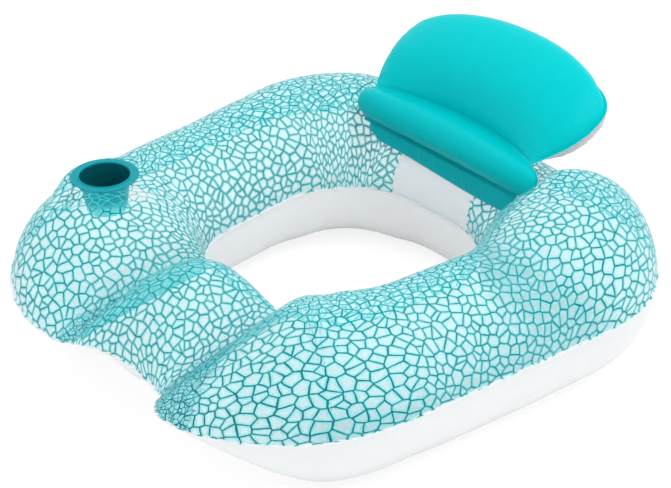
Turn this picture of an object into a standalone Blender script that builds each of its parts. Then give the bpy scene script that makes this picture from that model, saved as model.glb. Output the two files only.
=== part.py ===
"""Inflatable pool chair: a seat ring with an open middle, a leg bar, a backrest and a cup holder.

Metres, +Z up. The sitter faces -Y, so the leg bar is at -Y and the backrest at +Y. The origin is on
the floor under the middle of the whole chair: everything is drawn about the ring's middle first, and
moved at the end. Every chamber is built as the real one is: two cut sheets of PVC film, blown up
between seams where their edges are welded flat on each other.
"""
import math

import bmesh
import bpy
from mathutils import Matrix, Vector
from mathutils.geometry import intersect_line_line_2d

CHAIR_MIDDLE = 0.0225         # how far behind the ring's middle the middle of the chair lies

# The films and the clearances between pieces
FILM = 0.0003                 # wall of every inflated film
GAP = 0.0003                  # clearance between pieces that touch
LIP = 0.005                   # width of the flat weld outside a chamber

# The ring, seen from above, along its outer weld
RING_WIDTH_BACK = 1.000
RING_WIDTH_FRONT = 0.866
RING_LENGTH = 0.966
RING_CORNER_FRONT = 0.280
RING_CORNER_BACK = 0.257

# The ring's tube, flat width between its outer and inner welds
ARM_TUBE_BACK = 0.266
ARM_TUBE_FRONT = 0.245
BACK_TUBE = 0.222
BAR_TUBE = 0.250
HOLE_CORNER_FRONT = 0.090
HOLE_CORNER_BACK = 0.165

# Heights above and below the plane of the welds
WELD_PLANE = 0.140
ARM_RISE = 0.126
FRONT_CORNER_RISE = 0.132
LEFT_CORNER_RISE = 0.160      # the sitter's left rear corner stands fuller than the right one
RIGHT_CORNER_RISE = 0.144
BACK_RISE = 0.095
BAR_RISE = 0.104
BAR_DROP = 0.028
FRONT_DROOP = 0.012           # how far the outer weld hangs and the inner one rises at the front
CONTACT_SHARE = 0.965         # depth share below which the lower film lies flat on the floor
UPPER_ROUNDNESS = 2.0         # exponent of the tube's section, 2 is an ellipse
LOWER_ROUNDNESS = 2.3
WALL_ROUNDNESS = 4.0          # the wall that the backrest's flap draws upright
WALL_HALF = 0.085

# The two welded creases beside the leg bar
CREASE_OUTER_X = 0.130
CREASE_INNER_X = 0.105
CREASE_HALF_WIDTH = 0.004
CREASE_NOTCH = 0.030          # how far each crease draws the outer weld in
CREASE_AIR_WAY = 0.006        # height of the passage left open at both ends of a crease
BAR_INSET = 0.054             # how far the middle of the bar lies inside the ring's front
UPPER_LOBE = 0.190            # length over which the ring swells up from a crease
LOWER_LOBE = 0.205            # length over which it swells down
BAR_LOBE = 0.112
NOTCH_LENGTH = 0.062          # length over which the outer weld is drawn in
MIDDLE_CORNER_FRONT = 0.196
SLANT_LOBES = 1.0             # notch lengths over which the cuts turn from the crease's slant to square
LOBE_UPRIGHT = 0.5
LOBE_SLOPING = 0.9
END_LOBE_SHARE = 0.75         # share of the bar's lobe that is cut finely

# How finely the ring is cut into facets
PLAN_STEPS = 24
STATION_PITCH = 0.050
SECTION_STEPS = 12
END_DISTANCES_SHARES = (0.0, 0.06, 0.20, 0.44, 0.76)

# Cup holder
CUP_SIDE_Y = -0.228           # where along the left arm the cup holder stands
CUP_TOP_RADIUS = 0.0450
CUP_BASE_RADIUS = 0.0360
CUP_DEPTH = 0.062
CUP_FLANGE_RADIUS = 0.0610
CUP_FLANGE_THICK = 0.0014
CUP_BEAD = 0.0016             # rounded bead round the flange's opening
CUP_LIP = 0.009
CUP_FILM = 0.0006
CUP_FLAT_RADIUS = 0.068       # the film is drawn flat this far from the cup's axis
CUP_DIP = 0.006
CUP_OUTWARD = 0.022           # how far outside the tube's crown the cup stands

# Backrest: a lumbar roll that stands on its flap and a pillow that leans far back over the ring
HINGE_FROM_HOLE = 0.007       # the hinge line lies this far behind the seat hole's rear weld
HINGE_Y = RING_LENGTH / 2.0 - BACK_TUBE + HINGE_FROM_HOLE
HINGE_Z = 0.250
ROLL_LEAN = 28.0              # degrees from upright
PILLOW_LEAN = 65.0
ROLL_HEIGHT = 0.056
BACK_SEAM = 0.006             # flat weld between roll and pillow
PILLOW_HEIGHT = 0.204
ROLL_WIDTH_LOW = 0.366
ROLL_WIDTH_HIGH = 0.410
ROLL_END_BULGE = 0.026
PILLOW_WIDTH = 0.486
PILLOW_WIDEST_SHARE = 0.54    # share of the pillow's height where it is widest
PILLOW_ROUNDNESS = 3.0
SHOULDER = 50.0               # degrees round the pillow's outline where its side becomes its top
LIP_SPREAD = 22.0             # degrees between neighbouring edge points at a shoulder
BACK_BOW = 0.035              # how far the middle bows back from the ends
ROLL_FRONT = 0.046
ROLL_REAR = 0.040
PILLOW_FRONT = 0.062
PILLOW_REAR = 0.066
CROWN_ROUNDNESS = 2.2
FOLD_SLACK = 2.0              # the rear film lies flatter where roll and pillow fold together
AIR_WAY = 0.004               # height of the two air ways left open in the rear seam
AIR_WAY_X = 0.085
AIR_WAY_HALF = 0.016
BACK_COLUMNS = 18
END_CROWDING = 0.6
ROLL_ROWS = 6
PILLOW_ROWS = 9
FLAP_THICK = 0.0006
FLAP_FOOT_Y = HINGE_Y - 0.001 # the flap's lower weld on the ring's inner wall
FLAP_COLUMNS = 24
FLAP_SMOOTHING = 6            # times its foot is evened out above the ring

# Inflation valves, measured outward from the film
VALVE_FLANGE_RADIUS = 0.0165
VALVE_FLANGE_THICK = 0.0009
VALVE_WEB_RADIUS = 0.0118
VALVE_WEB_THICK = 0.0009
STEM_RADIUS = 0.0060
STEM_BORE = 0.0041
STEM_HEIGHT = 0.0138
STEM_SKIRT = 0.0062           # how far the stem reaches inside the film
POST_X = 0.0094
POST_THICK = 0.0013
POST_WIDTH = 0.0034
PLUG_THICK = 0.0014
PLUG_PIN_TOP = 0.0036
PLUG_PIN_END = 0.0029
PLUG_PIN_LENGTH = 0.0045
FLAP_DISC_RADIUS = 0.0053
FLAP_DISC_THICK = 0.0005
VALVE_FLAT_RADIUS = 0.0200

ROUND_STEPS = 32
SMALL_STEPS = 16
OVERRUN = 0.010               # how far a cutter reaches past what it cuts

COLOURS = {
    "printed film": (0.60, 0.93, 0.93, 0.12),
    "white film": (0.85, 0.85, 0.88, 0.30),
    "teal film": (0.0, 0.58, 0.61, 0.28),
    "cup vinyl": (0.0, 0.38, 0.43, 0.35),
    "clear vinyl": (0.80, 0.86, 0.88, 0.25),
}


def clear_scene():
    for old in list(bpy.data.objects):
        bpy.data.objects.remove(old, do_unlink=True)


def material(name):
    """A Principled material from the colour table: red, green, blue and roughness."""
    made = bpy.data.materials.get(name)
    if made is None:
        made = bpy.data.materials.new(name)
        made.use_nodes = True
        shader = made.node_tree.nodes["Principled BSDF"]
        red, green, blue, roughness = COLOURS[name]
        shader.inputs["Base Color"].default_value = (red, green, blue, 1.0)
        shader.inputs["Roughness"].default_value = roughness
        shader.inputs["Metallic"].default_value = 0.0
    return made


def new_object(name, points, faces, finish, place=None):
    """One closed body, faces turned outward, smooth where its facets meet at a small angle."""
    mesh = bpy.data.meshes.new(name)
    mesh.from_pydata([tuple(p) for p in points], [], faces)
    work = bmesh.new()
    work.from_mesh(mesh)
    bmesh.ops.recalc_face_normals(work, faces=work.faces)
    work.to_mesh(mesh)
    work.free()
    mesh.shade_smooth()
    mesh.set_sharp_from_angle(angle=math.radians(50.0))
    made = bpy.data.objects.new(name, mesh)
    bpy.context.collection.objects.link(made)
    if finish is not None:
        mesh.materials.append(material(finish))
    if place is not None:
        made.matrix_world = place
    return made


def blend(low, high, share):
    return low + (high - low) * share


def ease(share):
    """Smooth step from 0 to 1."""
    share = min(max(share, 0.0), 1.0)
    return share * share * (3.0 - 2.0 * share)


def offset_sheet(rows, distance, ring):
    """The sheet moved along its own normals; rows wrap round when ring is true."""
    count = len(rows)
    normals = [[Vector() for _ in row] for row in rows]
    for i in range(count if ring else count - 1):
        for j in range(len(rows[0]) - 1):
            corners = [(i, j), ((i + 1) % count, j), ((i + 1) % count, j + 1), (i, j + 1)]
            a, b, c, d = [rows[m][n] for m, n in corners]
            facing = (c - a).cross(d - b).normalized()
            for m, n in corners:
                normals[m][n] += facing
    return [[point + normal.normalized() * distance for point, normal in zip(row, facing)]
            for row, facing in zip(rows, normals)]


def film_between(name, one_side, other_side, ring, finish, place=None):
    """A closed film from two sheets of matching points, one for each of its sides."""
    rows, columns = len(one_side), len(one_side[0])
    points = [p for sheet in (one_side, other_side) for row in sheet for p in row]

    def number(side, i, j):
        return side * rows * columns + (i % rows) * columns + j

    faces = []
    last = rows if ring else rows - 1
    for i in range(last):
        for j in range(columns - 1):
            loop = [(i, j), (i + 1, j), (i + 1, j + 1), (i, j + 1)]
            a, b, c, d = [points[number(0, *spot)] for spot in loop]
            if (b - d).length < (a - c).length:
                loop = loop[1:] + loop[:1]
            for side in (0, 1):
                a, b, c, d = [number(side, *spot) for spot in loop]
                faces += [[a, b, c], [a, c, d]]
        for j in (0, columns - 1):
            faces.append([number(0, i, j), number(0, i + 1, j), number(1, i + 1, j), number(1, i, j)])
    if not ring:
        for i in (0, rows - 1):
            for j in range(columns - 1):
                faces.append([number(0, i, j), number(0, i, j + 1), number(1, i, j + 1), number(1, i, j)])
    return new_object(name, points, faces, finish, place)


def turned(name, profile, steps, finish, place=None):
    """A closed (radius, height) profile turned round Z; points on the axis become one vertex."""
    points, loops = [], []
    for radius, height in profile:
        if radius == 0.0:
            loops.append([len(points)] * steps)
            points.append(Vector((0.0, 0.0, height)))
            continue
        loops.append(list(range(len(points), len(points) + steps)))
        for k in range(steps):
            angle = math.tau * k / steps
            points.append(Vector((radius * math.cos(angle), radius * math.sin(angle), height)))
    faces = []
    for first, second in zip(loops, loops[1:] + loops[:1]):
        for k in range(steps):
            corners = [first[k], first[(k + 1) % steps], second[(k + 1) % steps], second[k]]
            corners = list(dict.fromkeys(corners))
            if len(corners) > 2:
                faces.append(corners)
    return new_object(name, points, faces, finish, place)


def sheet_profile(path, thickness):
    """A (radius, height) path given a wall: its left side out and its right side back."""
    sides = ([], [])
    for i, (x, y) in enumerate(path):
        normals = []
        for a, b in ((i - 1, i), (i, i + 1)):
            if a >= 0 and b < len(path):
                run = Vector((path[b][0] - path[a][0], path[b][1] - path[a][1])).normalized()
                normals.append(Vector((-run.y, run.x)))
        middle = sum(normals, Vector((0.0, 0.0))).normalized()
        reach = thickness / 2.0 / middle.dot(normals[0])
        sides[0].append((x + middle.x * reach, y + middle.y * reach))
        sides[1].append((x - middle.x * reach, y - middle.y * reach))
    return sides[0] + sides[1][::-1]


def block(name, low, high, place=None):
    """A box between two corners, for cutting or joining."""
    points = [Vector((x, y, z)) for x in (low[0], high[0]) for y in (low[1], high[1]) for z in (low[2], high[2])]
    faces = [[0, 1, 3, 2], [4, 6, 7, 5], [0, 4, 5, 1], [2, 3, 7, 6], [0, 2, 6, 4], [1, 5, 7, 3]]
    return new_object(name, points, faces, None, place)


def combine(target, tool, operation):
    """Cut the tool out of the target, or join it on. The tool stays as a hidden guide."""
    change = target.modifiers.new(operation.lower(), "BOOLEAN")
    change.operation = operation
    change.solver = "EXACT"
    change.object = tool
    tool.hide_render = True
    tool.display_type = "WIRE"


def round_cutter(name, radius, low, high, steps, place):
    return turned(name, [(0.0, low), (radius, low), (radius, high), (0.0, high)], steps, None, place)


# The ring's plan: two matching routes, along the outer and the inner weld

def rounded_corner(before, corner, after, radius, steps):
    """Points on the arc that rounds a corner of the plan."""
    back = (before - corner).normalized()
    on = (after - corner).normalized()
    half = back.angle(on) / 2.0
    centre = corner + (back + on).normalized() * (radius / math.sin(half))
    start = corner + back * (radius / math.tan(half)) - centre
    end = corner + on * (radius / math.tan(half)) - centre
    turn = start.angle_signed(end)
    first = math.atan2(start.y, start.x)
    arc = []
    for k in range(steps + 1):
        angle = first - turn * k / steps
        arc.append(centre + Vector((math.cos(angle), math.sin(angle))) * radius)
    return arc


def rounded_plan(half_front, half_back, front, back, radius_front, radius_back, steps):
    """A closed route with four rounded corners, counter-clockwise from its right front corner."""
    corners = [Vector((half_front, front)), Vector((half_back, back)),
               Vector((-half_back, back)), Vector((-half_front, front))]
    radii = [radius_front, radius_back, radius_back, radius_front]
    route = []
    for k, corner in enumerate(corners):
        route += rounded_corner(corners[k - 1], corner, corners[(k + 1) % 4], radii[k], steps)
    return route


def along(route, lengths, distance):
    """The point at a distance along a route, and the direction it runs in there."""
    k = 1
    while k < len(route) - 1 and lengths[k] < distance:
        k += 1
    run = route[k] - route[k - 1]
    share = (distance - lengths[k - 1]) / run.length
    return route[k - 1] + run * share, run.normalized()


def running_lengths(route):
    lengths = [0.0]
    for one, two in zip(route, route[1:]):
        lengths.append(lengths[-1] + (two - one).length)
    return lengths


def crossing(route, start, direction):
    """Where a line from start first meets the closed route."""
    end = start + direction * RING_LENGTH
    hits = []
    for a, b in zip(route, route[1:] + route[:1]):
        hit = intersect_line_line_2d(start, end, a, b)
        if hit:
            hits.append(hit)
    return min(hits, key=lambda hit: (hit - start).length)


def station_distances(total, lobe, knots):
    """Distances along a tube: close together in the lobe at each crease, even between the knots."""
    ends = [CREASE_HALF_WIDTH + lobe * share for share in END_DISTANCES_SHARES]
    start = CREASE_HALF_WIDTH + lobe
    stops = [start] + knots + [total - start]
    middle = [start]
    for one, two in zip(stops, stops[1:]):
        count = max(1, round((two - one) / STATION_PITCH))
        middle += [blend(one, two, k / count) for k in range(1, count + 1)]
    return ends + middle + [total - d for d in reversed(ends)]


def lobe_share(distance, total, lobe):
    """0 at the creases and 1 past a lobe."""
    near = min(distance, total - distance) - CREASE_HALF_WIDTH
    return min(max(near / lobe, 0.0), 1.0)


def swell(distance, total, lobe, fullness):
    """The same, rounded: fullness 0.5 starts upright like the end of a tube, 1 like a slope."""
    return (1.0 - (1.0 - lobe_share(distance, total, lobe)) ** 2) ** fullness


def ring_rise(place):
    """Height of the upper film over the weld plane, by where its tube's middle lies in the plan."""
    back_mix = ease((place.y - RING_LENGTH * 0.10) / (RING_LENGTH * 0.16))
    side = abs(place.x) / (RING_WIDTH_BACK / 2.0 - ARM_TUBE_BACK / 2.0)
    corner_mix = ease((side - 0.47) / 0.35)
    rear = blend(BACK_RISE, LEFT_CORNER_RISE if place.x > 0.0 else RIGHT_CORNER_RISE, corner_mix)
    front_mix = ease((-place.y - RING_LENGTH * 0.18) / (RING_LENGTH * 0.12))
    front = blend(ARM_RISE, FRONT_CORNER_RISE, front_mix)
    return blend(front, rear, back_mix)


class Station:
    """One cut across the tube: its two weld points, its heights and its directions."""

    def __init__(self, outer, inner, rise, drop, full, droop, wall=UPPER_ROUNDNESS):
        self.outer = outer
        self.inner = inner
        self.rise = rise
        self.drop = drop
        self.air = CREASE_AIR_WAY * (1.0 - full)
        self.droop = droop
        self.wall = wall
        self.middle = (outer + inner) / 2.0
        self.half = (outer - inner).length / 2.0
        self.outward = (outer - inner).normalized()

    def spot(self, across, height):
        """A point by its share across the tube, 1 at the outer weld, and its height over the welds."""
        flat = self.middle + self.outward * (self.half * across)
        share = min(max(across, -1.0), 1.0)
        return Vector((flat.x, flat.y, WELD_PLANE - self.droop * share + height))

    def point(self, k, upper):
        """A point of the film's inner side; k runs from the outer weld to the inner one."""
        angle = math.pi * k / SECTION_STEPS
        roundness = LOWER_ROUNDNESS
        if upper:
            roundness = UPPER_ROUNDNESS if math.cos(angle) > 0.0 else self.wall
        power = 2.0 / roundness
        across = math.copysign(abs(math.cos(angle)) ** power, math.cos(angle))
        height = max(math.sin(angle), 0.0) ** power
        if upper:
            passage = self.air if min(k, SECTION_STEPS - k) in (1, 2) else 0.0
            return self.spot(across, GAP / 2.0 + max(self.rise * height, passage))
        height = min(height / CONTACT_SHARE, 1.0)
        return self.spot(across, -GAP / 2.0 - self.drop * height)

    def lip(self, side, upper):
        """The edge of the flat weld, outside the tube (side 1) or in the hole (side -1)."""
        return self.spot(side * (1.0 + LIP / self.half), GAP / 2.0 if upper else -GAP / 2.0)


def outer_plan():
    front = -RING_LENGTH / 2.0
    return rounded_plan(RING_WIDTH_FRONT / 2.0, RING_WIDTH_BACK / 2.0, front, -front,
                        RING_CORNER_FRONT, RING_CORNER_BACK, PLAN_STEPS)


def hole_plan():
    front = -RING_LENGTH / 2.0
    return rounded_plan(RING_WIDTH_FRONT / 2.0 - ARM_TUBE_FRONT, RING_WIDTH_BACK / 2.0 - ARM_TUBE_BACK,
                        front + BAR_INSET + BAR_TUBE, -front - BACK_TUBE,
                        HOLE_CORNER_FRONT, HOLE_CORNER_BACK, PLAN_STEPS)


def middle_route():
    """Along the middle of the tube from the right crease round the back to the left crease."""
    front = -RING_LENGTH / 2.0 + (BAR_INSET + BAR_TUBE) / 2.0
    route = rounded_plan((RING_WIDTH_FRONT - ARM_TUBE_FRONT) / 2.0, (RING_WIDTH_BACK - ARM_TUBE_BACK) / 2.0,
                         front, (RING_LENGTH - BACK_TUBE) / 2.0,
                         MIDDLE_CORNER_FRONT, (RING_CORNER_BACK + HOLE_CORNER_BACK) / 2.0, PLAN_STEPS)
    crease = (CREASE_OUTER_X + CREASE_INNER_X) / 2.0
    return [Vector((crease, front))] + route + [Vector((-crease, front))]


def ring_stations():
    """Stations round the ring from the right crease to the left one, with the cup's and the valve's."""
    outer, hole, route = outer_plan(), hole_plan(), middle_route()
    lengths = running_lengths(route)
    total = lengths[-1]
    cup = next(total - lengths[k] for k in range(len(route)) if route[k].y > CUP_SIDE_Y)
    floor_drop = WELD_PLANE - GAP / 2.0 - FILM
    slant = Vector((CREASE_OUTER_X - CREASE_INNER_X, -BAR_INSET - BAR_TUBE)).normalized()
    stations = []
    for distance in station_distances(total, NOTCH_LENGTH, [total - cup, total / 2.0, cup]):
        middle, run = along(route, lengths, distance)
        full = swell(distance, total, NOTCH_LENGTH, LOBE_UPRIGHT)
        near = min(distance, total - distance) / NOTCH_LENGTH
        side = Vector((slant.x * math.copysign(1.0, middle.x), slant.y))
        across = Vector((run.y, -run.x)).lerp(side, 1.0 - ease(near / SLANT_LOBES)).normalized()
        out = crossing(outer, middle, across)
        inn = crossing(hole, middle, -across)
        out = out - across * (CREASE_NOTCH * (1.0 - full))
        rise = ring_rise((out + inn) / 2.0) * swell(distance, total, UPPER_LOBE, LOBE_SLOPING)
        low = ease(lobe_share(distance, total, LOWER_LOBE))
        drawn = ease(1.6 - abs(middle.x) / WALL_HALF) if middle.y > 0.0 else 0.0
        stations.append(Station(out, inn, rise, floor_drop * low, full, FRONT_DROOP * (1.0 - low),
                                blend(UPPER_ROUNDNESS, WALL_ROUNDNESS, drawn)))
    return stations


def bar_stations():
    """Stations across the leg bar from the left crease to the right one."""
    front = -RING_LENGTH / 2.0
    total = CREASE_OUTER_X + CREASE_INNER_X
    stations = []
    for distance in station_distances(total, BAR_LOBE * END_LOBE_SHARE, [total / 2.0]):
        share = 2.0 * distance / total - 1.0
        full = swell(distance, total, BAR_LOBE, LOBE_UPRIGHT)
        draw = blend(BAR_INSET, CREASE_NOTCH, share * share)
        out = Vector((CREASE_OUTER_X * share, front + draw))
        inn = Vector((CREASE_INNER_X * share, front + BAR_INSET + BAR_TUBE))
        drop = BAR_DROP * ease(lobe_share(distance, total, BAR_LOBE))
        stations.append(Station(out, inn, BAR_RISE * full, drop, full, FRONT_DROOP))
    return stations


def ring_sheet(stations, upper):
    """The film's inner side as rows of points, from the outer lip over the tube to the inner lip."""
    rows = []
    for station in stations:
        row = [station.lip(1, upper)]
        row += [station.point(k, upper) for k in range(SECTION_STEPS + 1)]
        row.append(station.lip(-1, upper))
        rows.append(row)
    return rows


def draw_flat(rows, i, j, reach, centre, axis_one, axis_two, normal, radius):
    """Pull a square block of the sheet's points round (i, j) on to a flat disc."""
    for a in range(-reach, reach + 1):
        for b in range(-reach, reach + 1):
            ring = max(abs(a), abs(b))
            angle = math.atan2(b, a)
            shift = (axis_one * math.cos(angle) + axis_two * math.sin(angle)) * (radius * ring / reach)
            rows[i + a][j + b] = centre + shift
    turn = Vector((0, 0, 1)).rotation_difference(normal)
    return Matrix.Translation(centre) @ turn.to_matrix().to_4x4()


CROWN = 1 + SECTION_STEPS // 2      # column of the ring's sheet that runs along the crown


def nearest_station(stations, x, y):
    return min(range(len(stations)), key=lambda k: (stations[k].middle - Vector((x, y))).length)


def flat_place(stations, rows, k, column, reach, radius, dip, outward):
    """Draw the upper film flat near the crown of station k and give the place on its outer side."""
    station = stations[k]
    centre = station.spot(outward / station.half, 0.0)
    centre.z = rows[k][CROWN].z - dip
    forward = (stations[k + 1].middle - stations[k - 1].middle).normalized()
    ahead = Vector((forward.x, forward.y, 0.0))
    inward = Vector((-station.outward.x, -station.outward.y, 0.0))
    inward = (inward - ahead * inward.dot(ahead)).normalized()
    flat = draw_flat(rows, k, column, reach, centre, ahead, inward, Vector((0, 0, 1)), radius)
    return Matrix.Translation((0.0, 0.0, FILM)) @ flat


def make_ring():
    """The two films of the ring; gives the places of the cup holder and of the valve."""
    stations = ring_stations()
    round_trip = stations + bar_stations()
    upper = ring_sheet(round_trip, True)
    k = nearest_station(stations, -RING_WIDTH_FRONT / 2.0, CUP_SIDE_Y)
    cup = flat_place(stations, upper, k, CROWN - 1, 2, CUP_FLAT_RADIUS, CUP_DIP, CUP_OUTWARD)
    k = nearest_station(stations, 0.0, RING_LENGTH / 2.0)
    valve = flat_place(stations, upper, k, CROWN, 1, VALVE_FLAT_RADIUS, 0.0, 0.0)
    top = film_between("ring_top_film", upper, offset_sheet(upper, FILM, True), True, "printed film")
    cut_cup = round_cutter("cup_hole_guide", CUP_TOP_RADIUS + CUP_FILM + GAP, -OVERRUN, OVERRUN,
                           ROUND_STEPS, cup)
    combine(top, cut_cup, "DIFFERENCE")
    cut_valve = round_cutter("ring_valve_hole_guide", VALVE_WEB_RADIUS + GAP, -OVERRUN, OVERRUN,
                             SMALL_STEPS, valve)
    combine(top, cut_valve, "DIFFERENCE")
    lower = ring_sheet(round_trip, False)
    outside = offset_sheet(lower, -FILM, True)
    for point in [p for row in outside for p in row if p.z < FILM / 2.0]:
        point.z = 0.0
    film_between("ring_bottom_film", lower, outside, True, "white film")
    return cup, valve


def make_cup_holder(place):
    """Sleeve hung in the film's round hole, its base disc, and the flange welded over both."""
    lip_level = GAP + CUP_FILM / 2.0
    sleeve = [(CUP_TOP_RADIUS + CUP_LIP, lip_level), (CUP_TOP_RADIUS, lip_level),
              (CUP_BASE_RADIUS, -CUP_DEPTH), (CUP_BASE_RADIUS - CUP_LIP * 0.7, -CUP_DEPTH)]
    turned("cup_sleeve", sheet_profile(sleeve, CUP_FILM), ROUND_STEPS, "cup vinyl", place)
    low = -CUP_DEPTH + CUP_FILM / 2.0 + GAP
    base_radius = CUP_BASE_RADIUS - CUP_FILM
    base = [(0.0, low), (base_radius, low), (base_radius, low + CUP_FILM), (0.0, low + CUP_FILM)]
    turned("cup_base", base, ROUND_STEPS, "cup vinyl", place)
    level = lip_level + CUP_FILM / 2.0 + GAP
    top = level + CUP_FLANGE_THICK
    inside = CUP_TOP_RADIUS
    edge = CUP_FLANGE_RADIUS
    flange = [(inside, level), (edge - CUP_FLANGE_THICK / 2.0, level), (edge, level + CUP_FLANGE_THICK / 2.0),
              (edge - CUP_FLANGE_THICK / 2.0, top), (inside + CUP_BEAD * 2.0, top)]
    for k in range(5):
        angle = math.pi * k / 4.0
        flange.append((inside + CUP_BEAD * (1.0 + math.cos(angle)), top + CUP_BEAD * math.sin(angle)))
    turned("cup_flange", flange[:4] + flange[5:], ROUND_STEPS, "cup vinyl", place)


def make_valve(prefix, place, finish):
    """Flange ring, stem with its flexible web, tethered plug and inner check flap."""
    low = GAP
    inner = VALVE_WEB_RADIUS + GAP
    flange = [(inner, low), (VALVE_FLANGE_RADIUS, low), (VALVE_FLANGE_RADIUS - low, low + VALVE_FLANGE_THICK),
              (inner, low + VALVE_FLANGE_THICK)]
    turned(prefix + "_valve_flange", flange, SMALL_STEPS, finish, place)
    web_top = low + VALVE_WEB_THICK
    stem = [(STEM_BORE, -STEM_SKIRT), (STEM_RADIUS, -STEM_SKIRT), (STEM_RADIUS, low), (VALVE_WEB_RADIUS, low),
            (VALVE_WEB_RADIUS, web_top), (STEM_RADIUS, web_top), (STEM_RADIUS, STEM_HEIGHT),
            (STEM_BORE, STEM_HEIGHT)]
    made = turned(prefix + "_valve_stem", stem, SMALL_STEPS, finish, place)
    post = block(prefix + "_post_guide", (POST_X - POST_THICK / 2.0, -POST_WIDTH / 2.0, low + VALVE_WEB_THICK / 2.0),
                 (POST_X + POST_THICK / 2.0, POST_WIDTH / 2.0, STEM_HEIGHT - GAP), place)
    combine(made, post, "UNION")
    level = STEM_HEIGHT + GAP
    plug = [(0.0, level - PLUG_PIN_LENGTH), (PLUG_PIN_END, level - PLUG_PIN_LENGTH), (PLUG_PIN_TOP, level),
            (STEM_RADIUS, level), (STEM_RADIUS, level + PLUG_THICK), (0.0, level + PLUG_THICK)]
    hinge = Vector((POST_X, 0.0, level))
    at_hinge = place @ Matrix.Translation(hinge)
    made = turned(prefix + "_valve_plug", [(r, z - level) for r, z in plug], SMALL_STEPS, finish)
    made.data.transform(Matrix.Translation((-POST_X, 0.0, 0.0)))
    made.matrix_world = at_hinge
    arm = block(prefix + "_arm_guide", (-POST_X + STEM_RADIUS / 2.0, -POST_WIDTH / 2.0, PLUG_THICK * 0.15),
                (0.0, POST_WIDTH / 2.0, PLUG_THICK * 0.85), at_hinge)
    combine(made, arm, "UNION")
    high = -STEM_SKIRT - GAP
    disc = [(0.0, -FLAP_DISC_THICK), (FLAP_DISC_RADIUS, -FLAP_DISC_THICK), (FLAP_DISC_RADIUS, 0.0), (0.0, 0.0)]
    made = turned(prefix + "_valve_flap", disc, SMALL_STEPS, finish)
    made.data.transform(Matrix.Translation((-FLAP_DISC_RADIUS, 0.0, 0.0)))
    made.matrix_world = place @ Matrix.Translation((FLAP_DISC_RADIUS, 0.0, high))
    return made


# The backrest, in its hinge's axes: X across, Z up along the roll, -Y towards the sitter

def roll_half_width(share):
    low = ROLL_WIDTH_LOW / 2.0
    high = ROLL_WIDTH_HIGH / 2.0
    return blend(low, high, share) + ROLL_END_BULGE * math.sin(math.pi * share)


def pillow_outline(angle):
    """The pillow's upper outline: a rounded oblong about its widest line."""
    widest = PILLOW_HEIGHT * PILLOW_WIDEST_SHARE
    power = 2.0 / PILLOW_ROUNDNESS
    x = math.copysign(abs(math.cos(angle)) ** power, math.cos(angle)) * PILLOW_WIDTH / 2.0
    return Vector((x, widest + (PILLOW_HEIGHT - widest) * math.sin(angle) ** power))


def pillow_edges():
    """Its right side from the seam to the shoulder, and its top from shoulder to shoulder."""
    widest = PILLOW_HEIGHT * PILLOW_WIDEST_SHARE
    low, high = ROLL_WIDTH_HIGH / 2.0, PILLOW_WIDTH / 2.0
    shoulder = math.radians(SHOULDER)
    shares = [k / PLAN_STEPS for k in range(PLAN_STEPS + 1)]
    side = [Vector((blend(low, high, math.sin(math.pi / 2.0 * k)), widest * k)) for k in shares[:-1]]
    side += [pillow_outline(shoulder * k) for k in shares]
    top = [pillow_outline(blend(math.pi - shoulder, shoulder, k)) for k in shares]
    return side, top


def turned_by(run, degrees):
    angle = math.radians(degrees)
    return Vector((run.x * math.cos(angle) - run.y * math.sin(angle),
                   run.x * math.sin(angle) + run.y * math.cos(angle)))


def at_share(route, share):
    lengths = running_lengths(route)
    return along(route, lengths, lengths[-1] * share)


def pillow_rows():
    """Rows of points over the pillow's flat shape, with the weld round its edge."""
    side, top = pillow_edges()
    corner = side[-1]
    shares = [(1.0 + crowded(2.0 * k / PILLOW_ROWS - 1.0)) / 2.0 for k in range(PILLOW_ROWS + 1)]
    rows = []
    for up in shares:
        edge, run = at_share(side, up)
        out = Vector((run.y, -run.x)) * LIP
        tip = out
        if up == shares[-1]:
            out = turned_by(out, -LIP_SPREAD)
        row = [Vector((-edge.x - out.x, edge.y + out.y))]
        for k in range(BACK_COLUMNS + 1):
            u = (1.0 + across_share(k)) / 2.0
            low = Vector((blend(-side[0].x, side[0].x, u), 0.0))
            high = at_share(top, u)[0]
            ends = Vector((blend(-edge.x, edge.x, u), edge.y))
            corners = Vector((blend(-1.0, 1.0, u) * blend(side[0].x, corner.x, up), corner.y * up))
            row.append(low.lerp(high, up) + ends - corners)
        row.append(edge + out)
        rows.append(row)
    last = []
    for k in range(BACK_COLUMNS + 1):
        point, run = at_share(top, (1.0 + across_share(k)) / 2.0)
        out = Vector((-run.y, run.x)) * LIP
        if k in (0, BACK_COLUMNS):
            out = turned_by(out, math.copysign(LIP_SPREAD, point.x))
        last.append(point + out)
    first = Vector((-corner.x - tip.x, corner.y + tip.y))
    rows.append([first] + last + [corner + tip])
    return rows, shares + [1.0]


def crowded(share):
    """An even share from -1 to 1, moved so that neighbours lie closer together towards both ends."""
    return blend(share, math.sin(math.pi / 2.0 * share), END_CROWDING)


def across_share(k):
    """Share across the backrest of column k, closer together towards both ends."""
    return crowded(2.0 * k / BACK_COLUMNS - 1.0)


def crown_shape(share, slack=1.0):
    """Fullness of an inflated cross-section: 1 in the middle and 0 at its welds."""
    return max(1.0 - abs(share) ** CROWN_ROUNDNESS, 0.0) ** (slack / 2.0)


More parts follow.
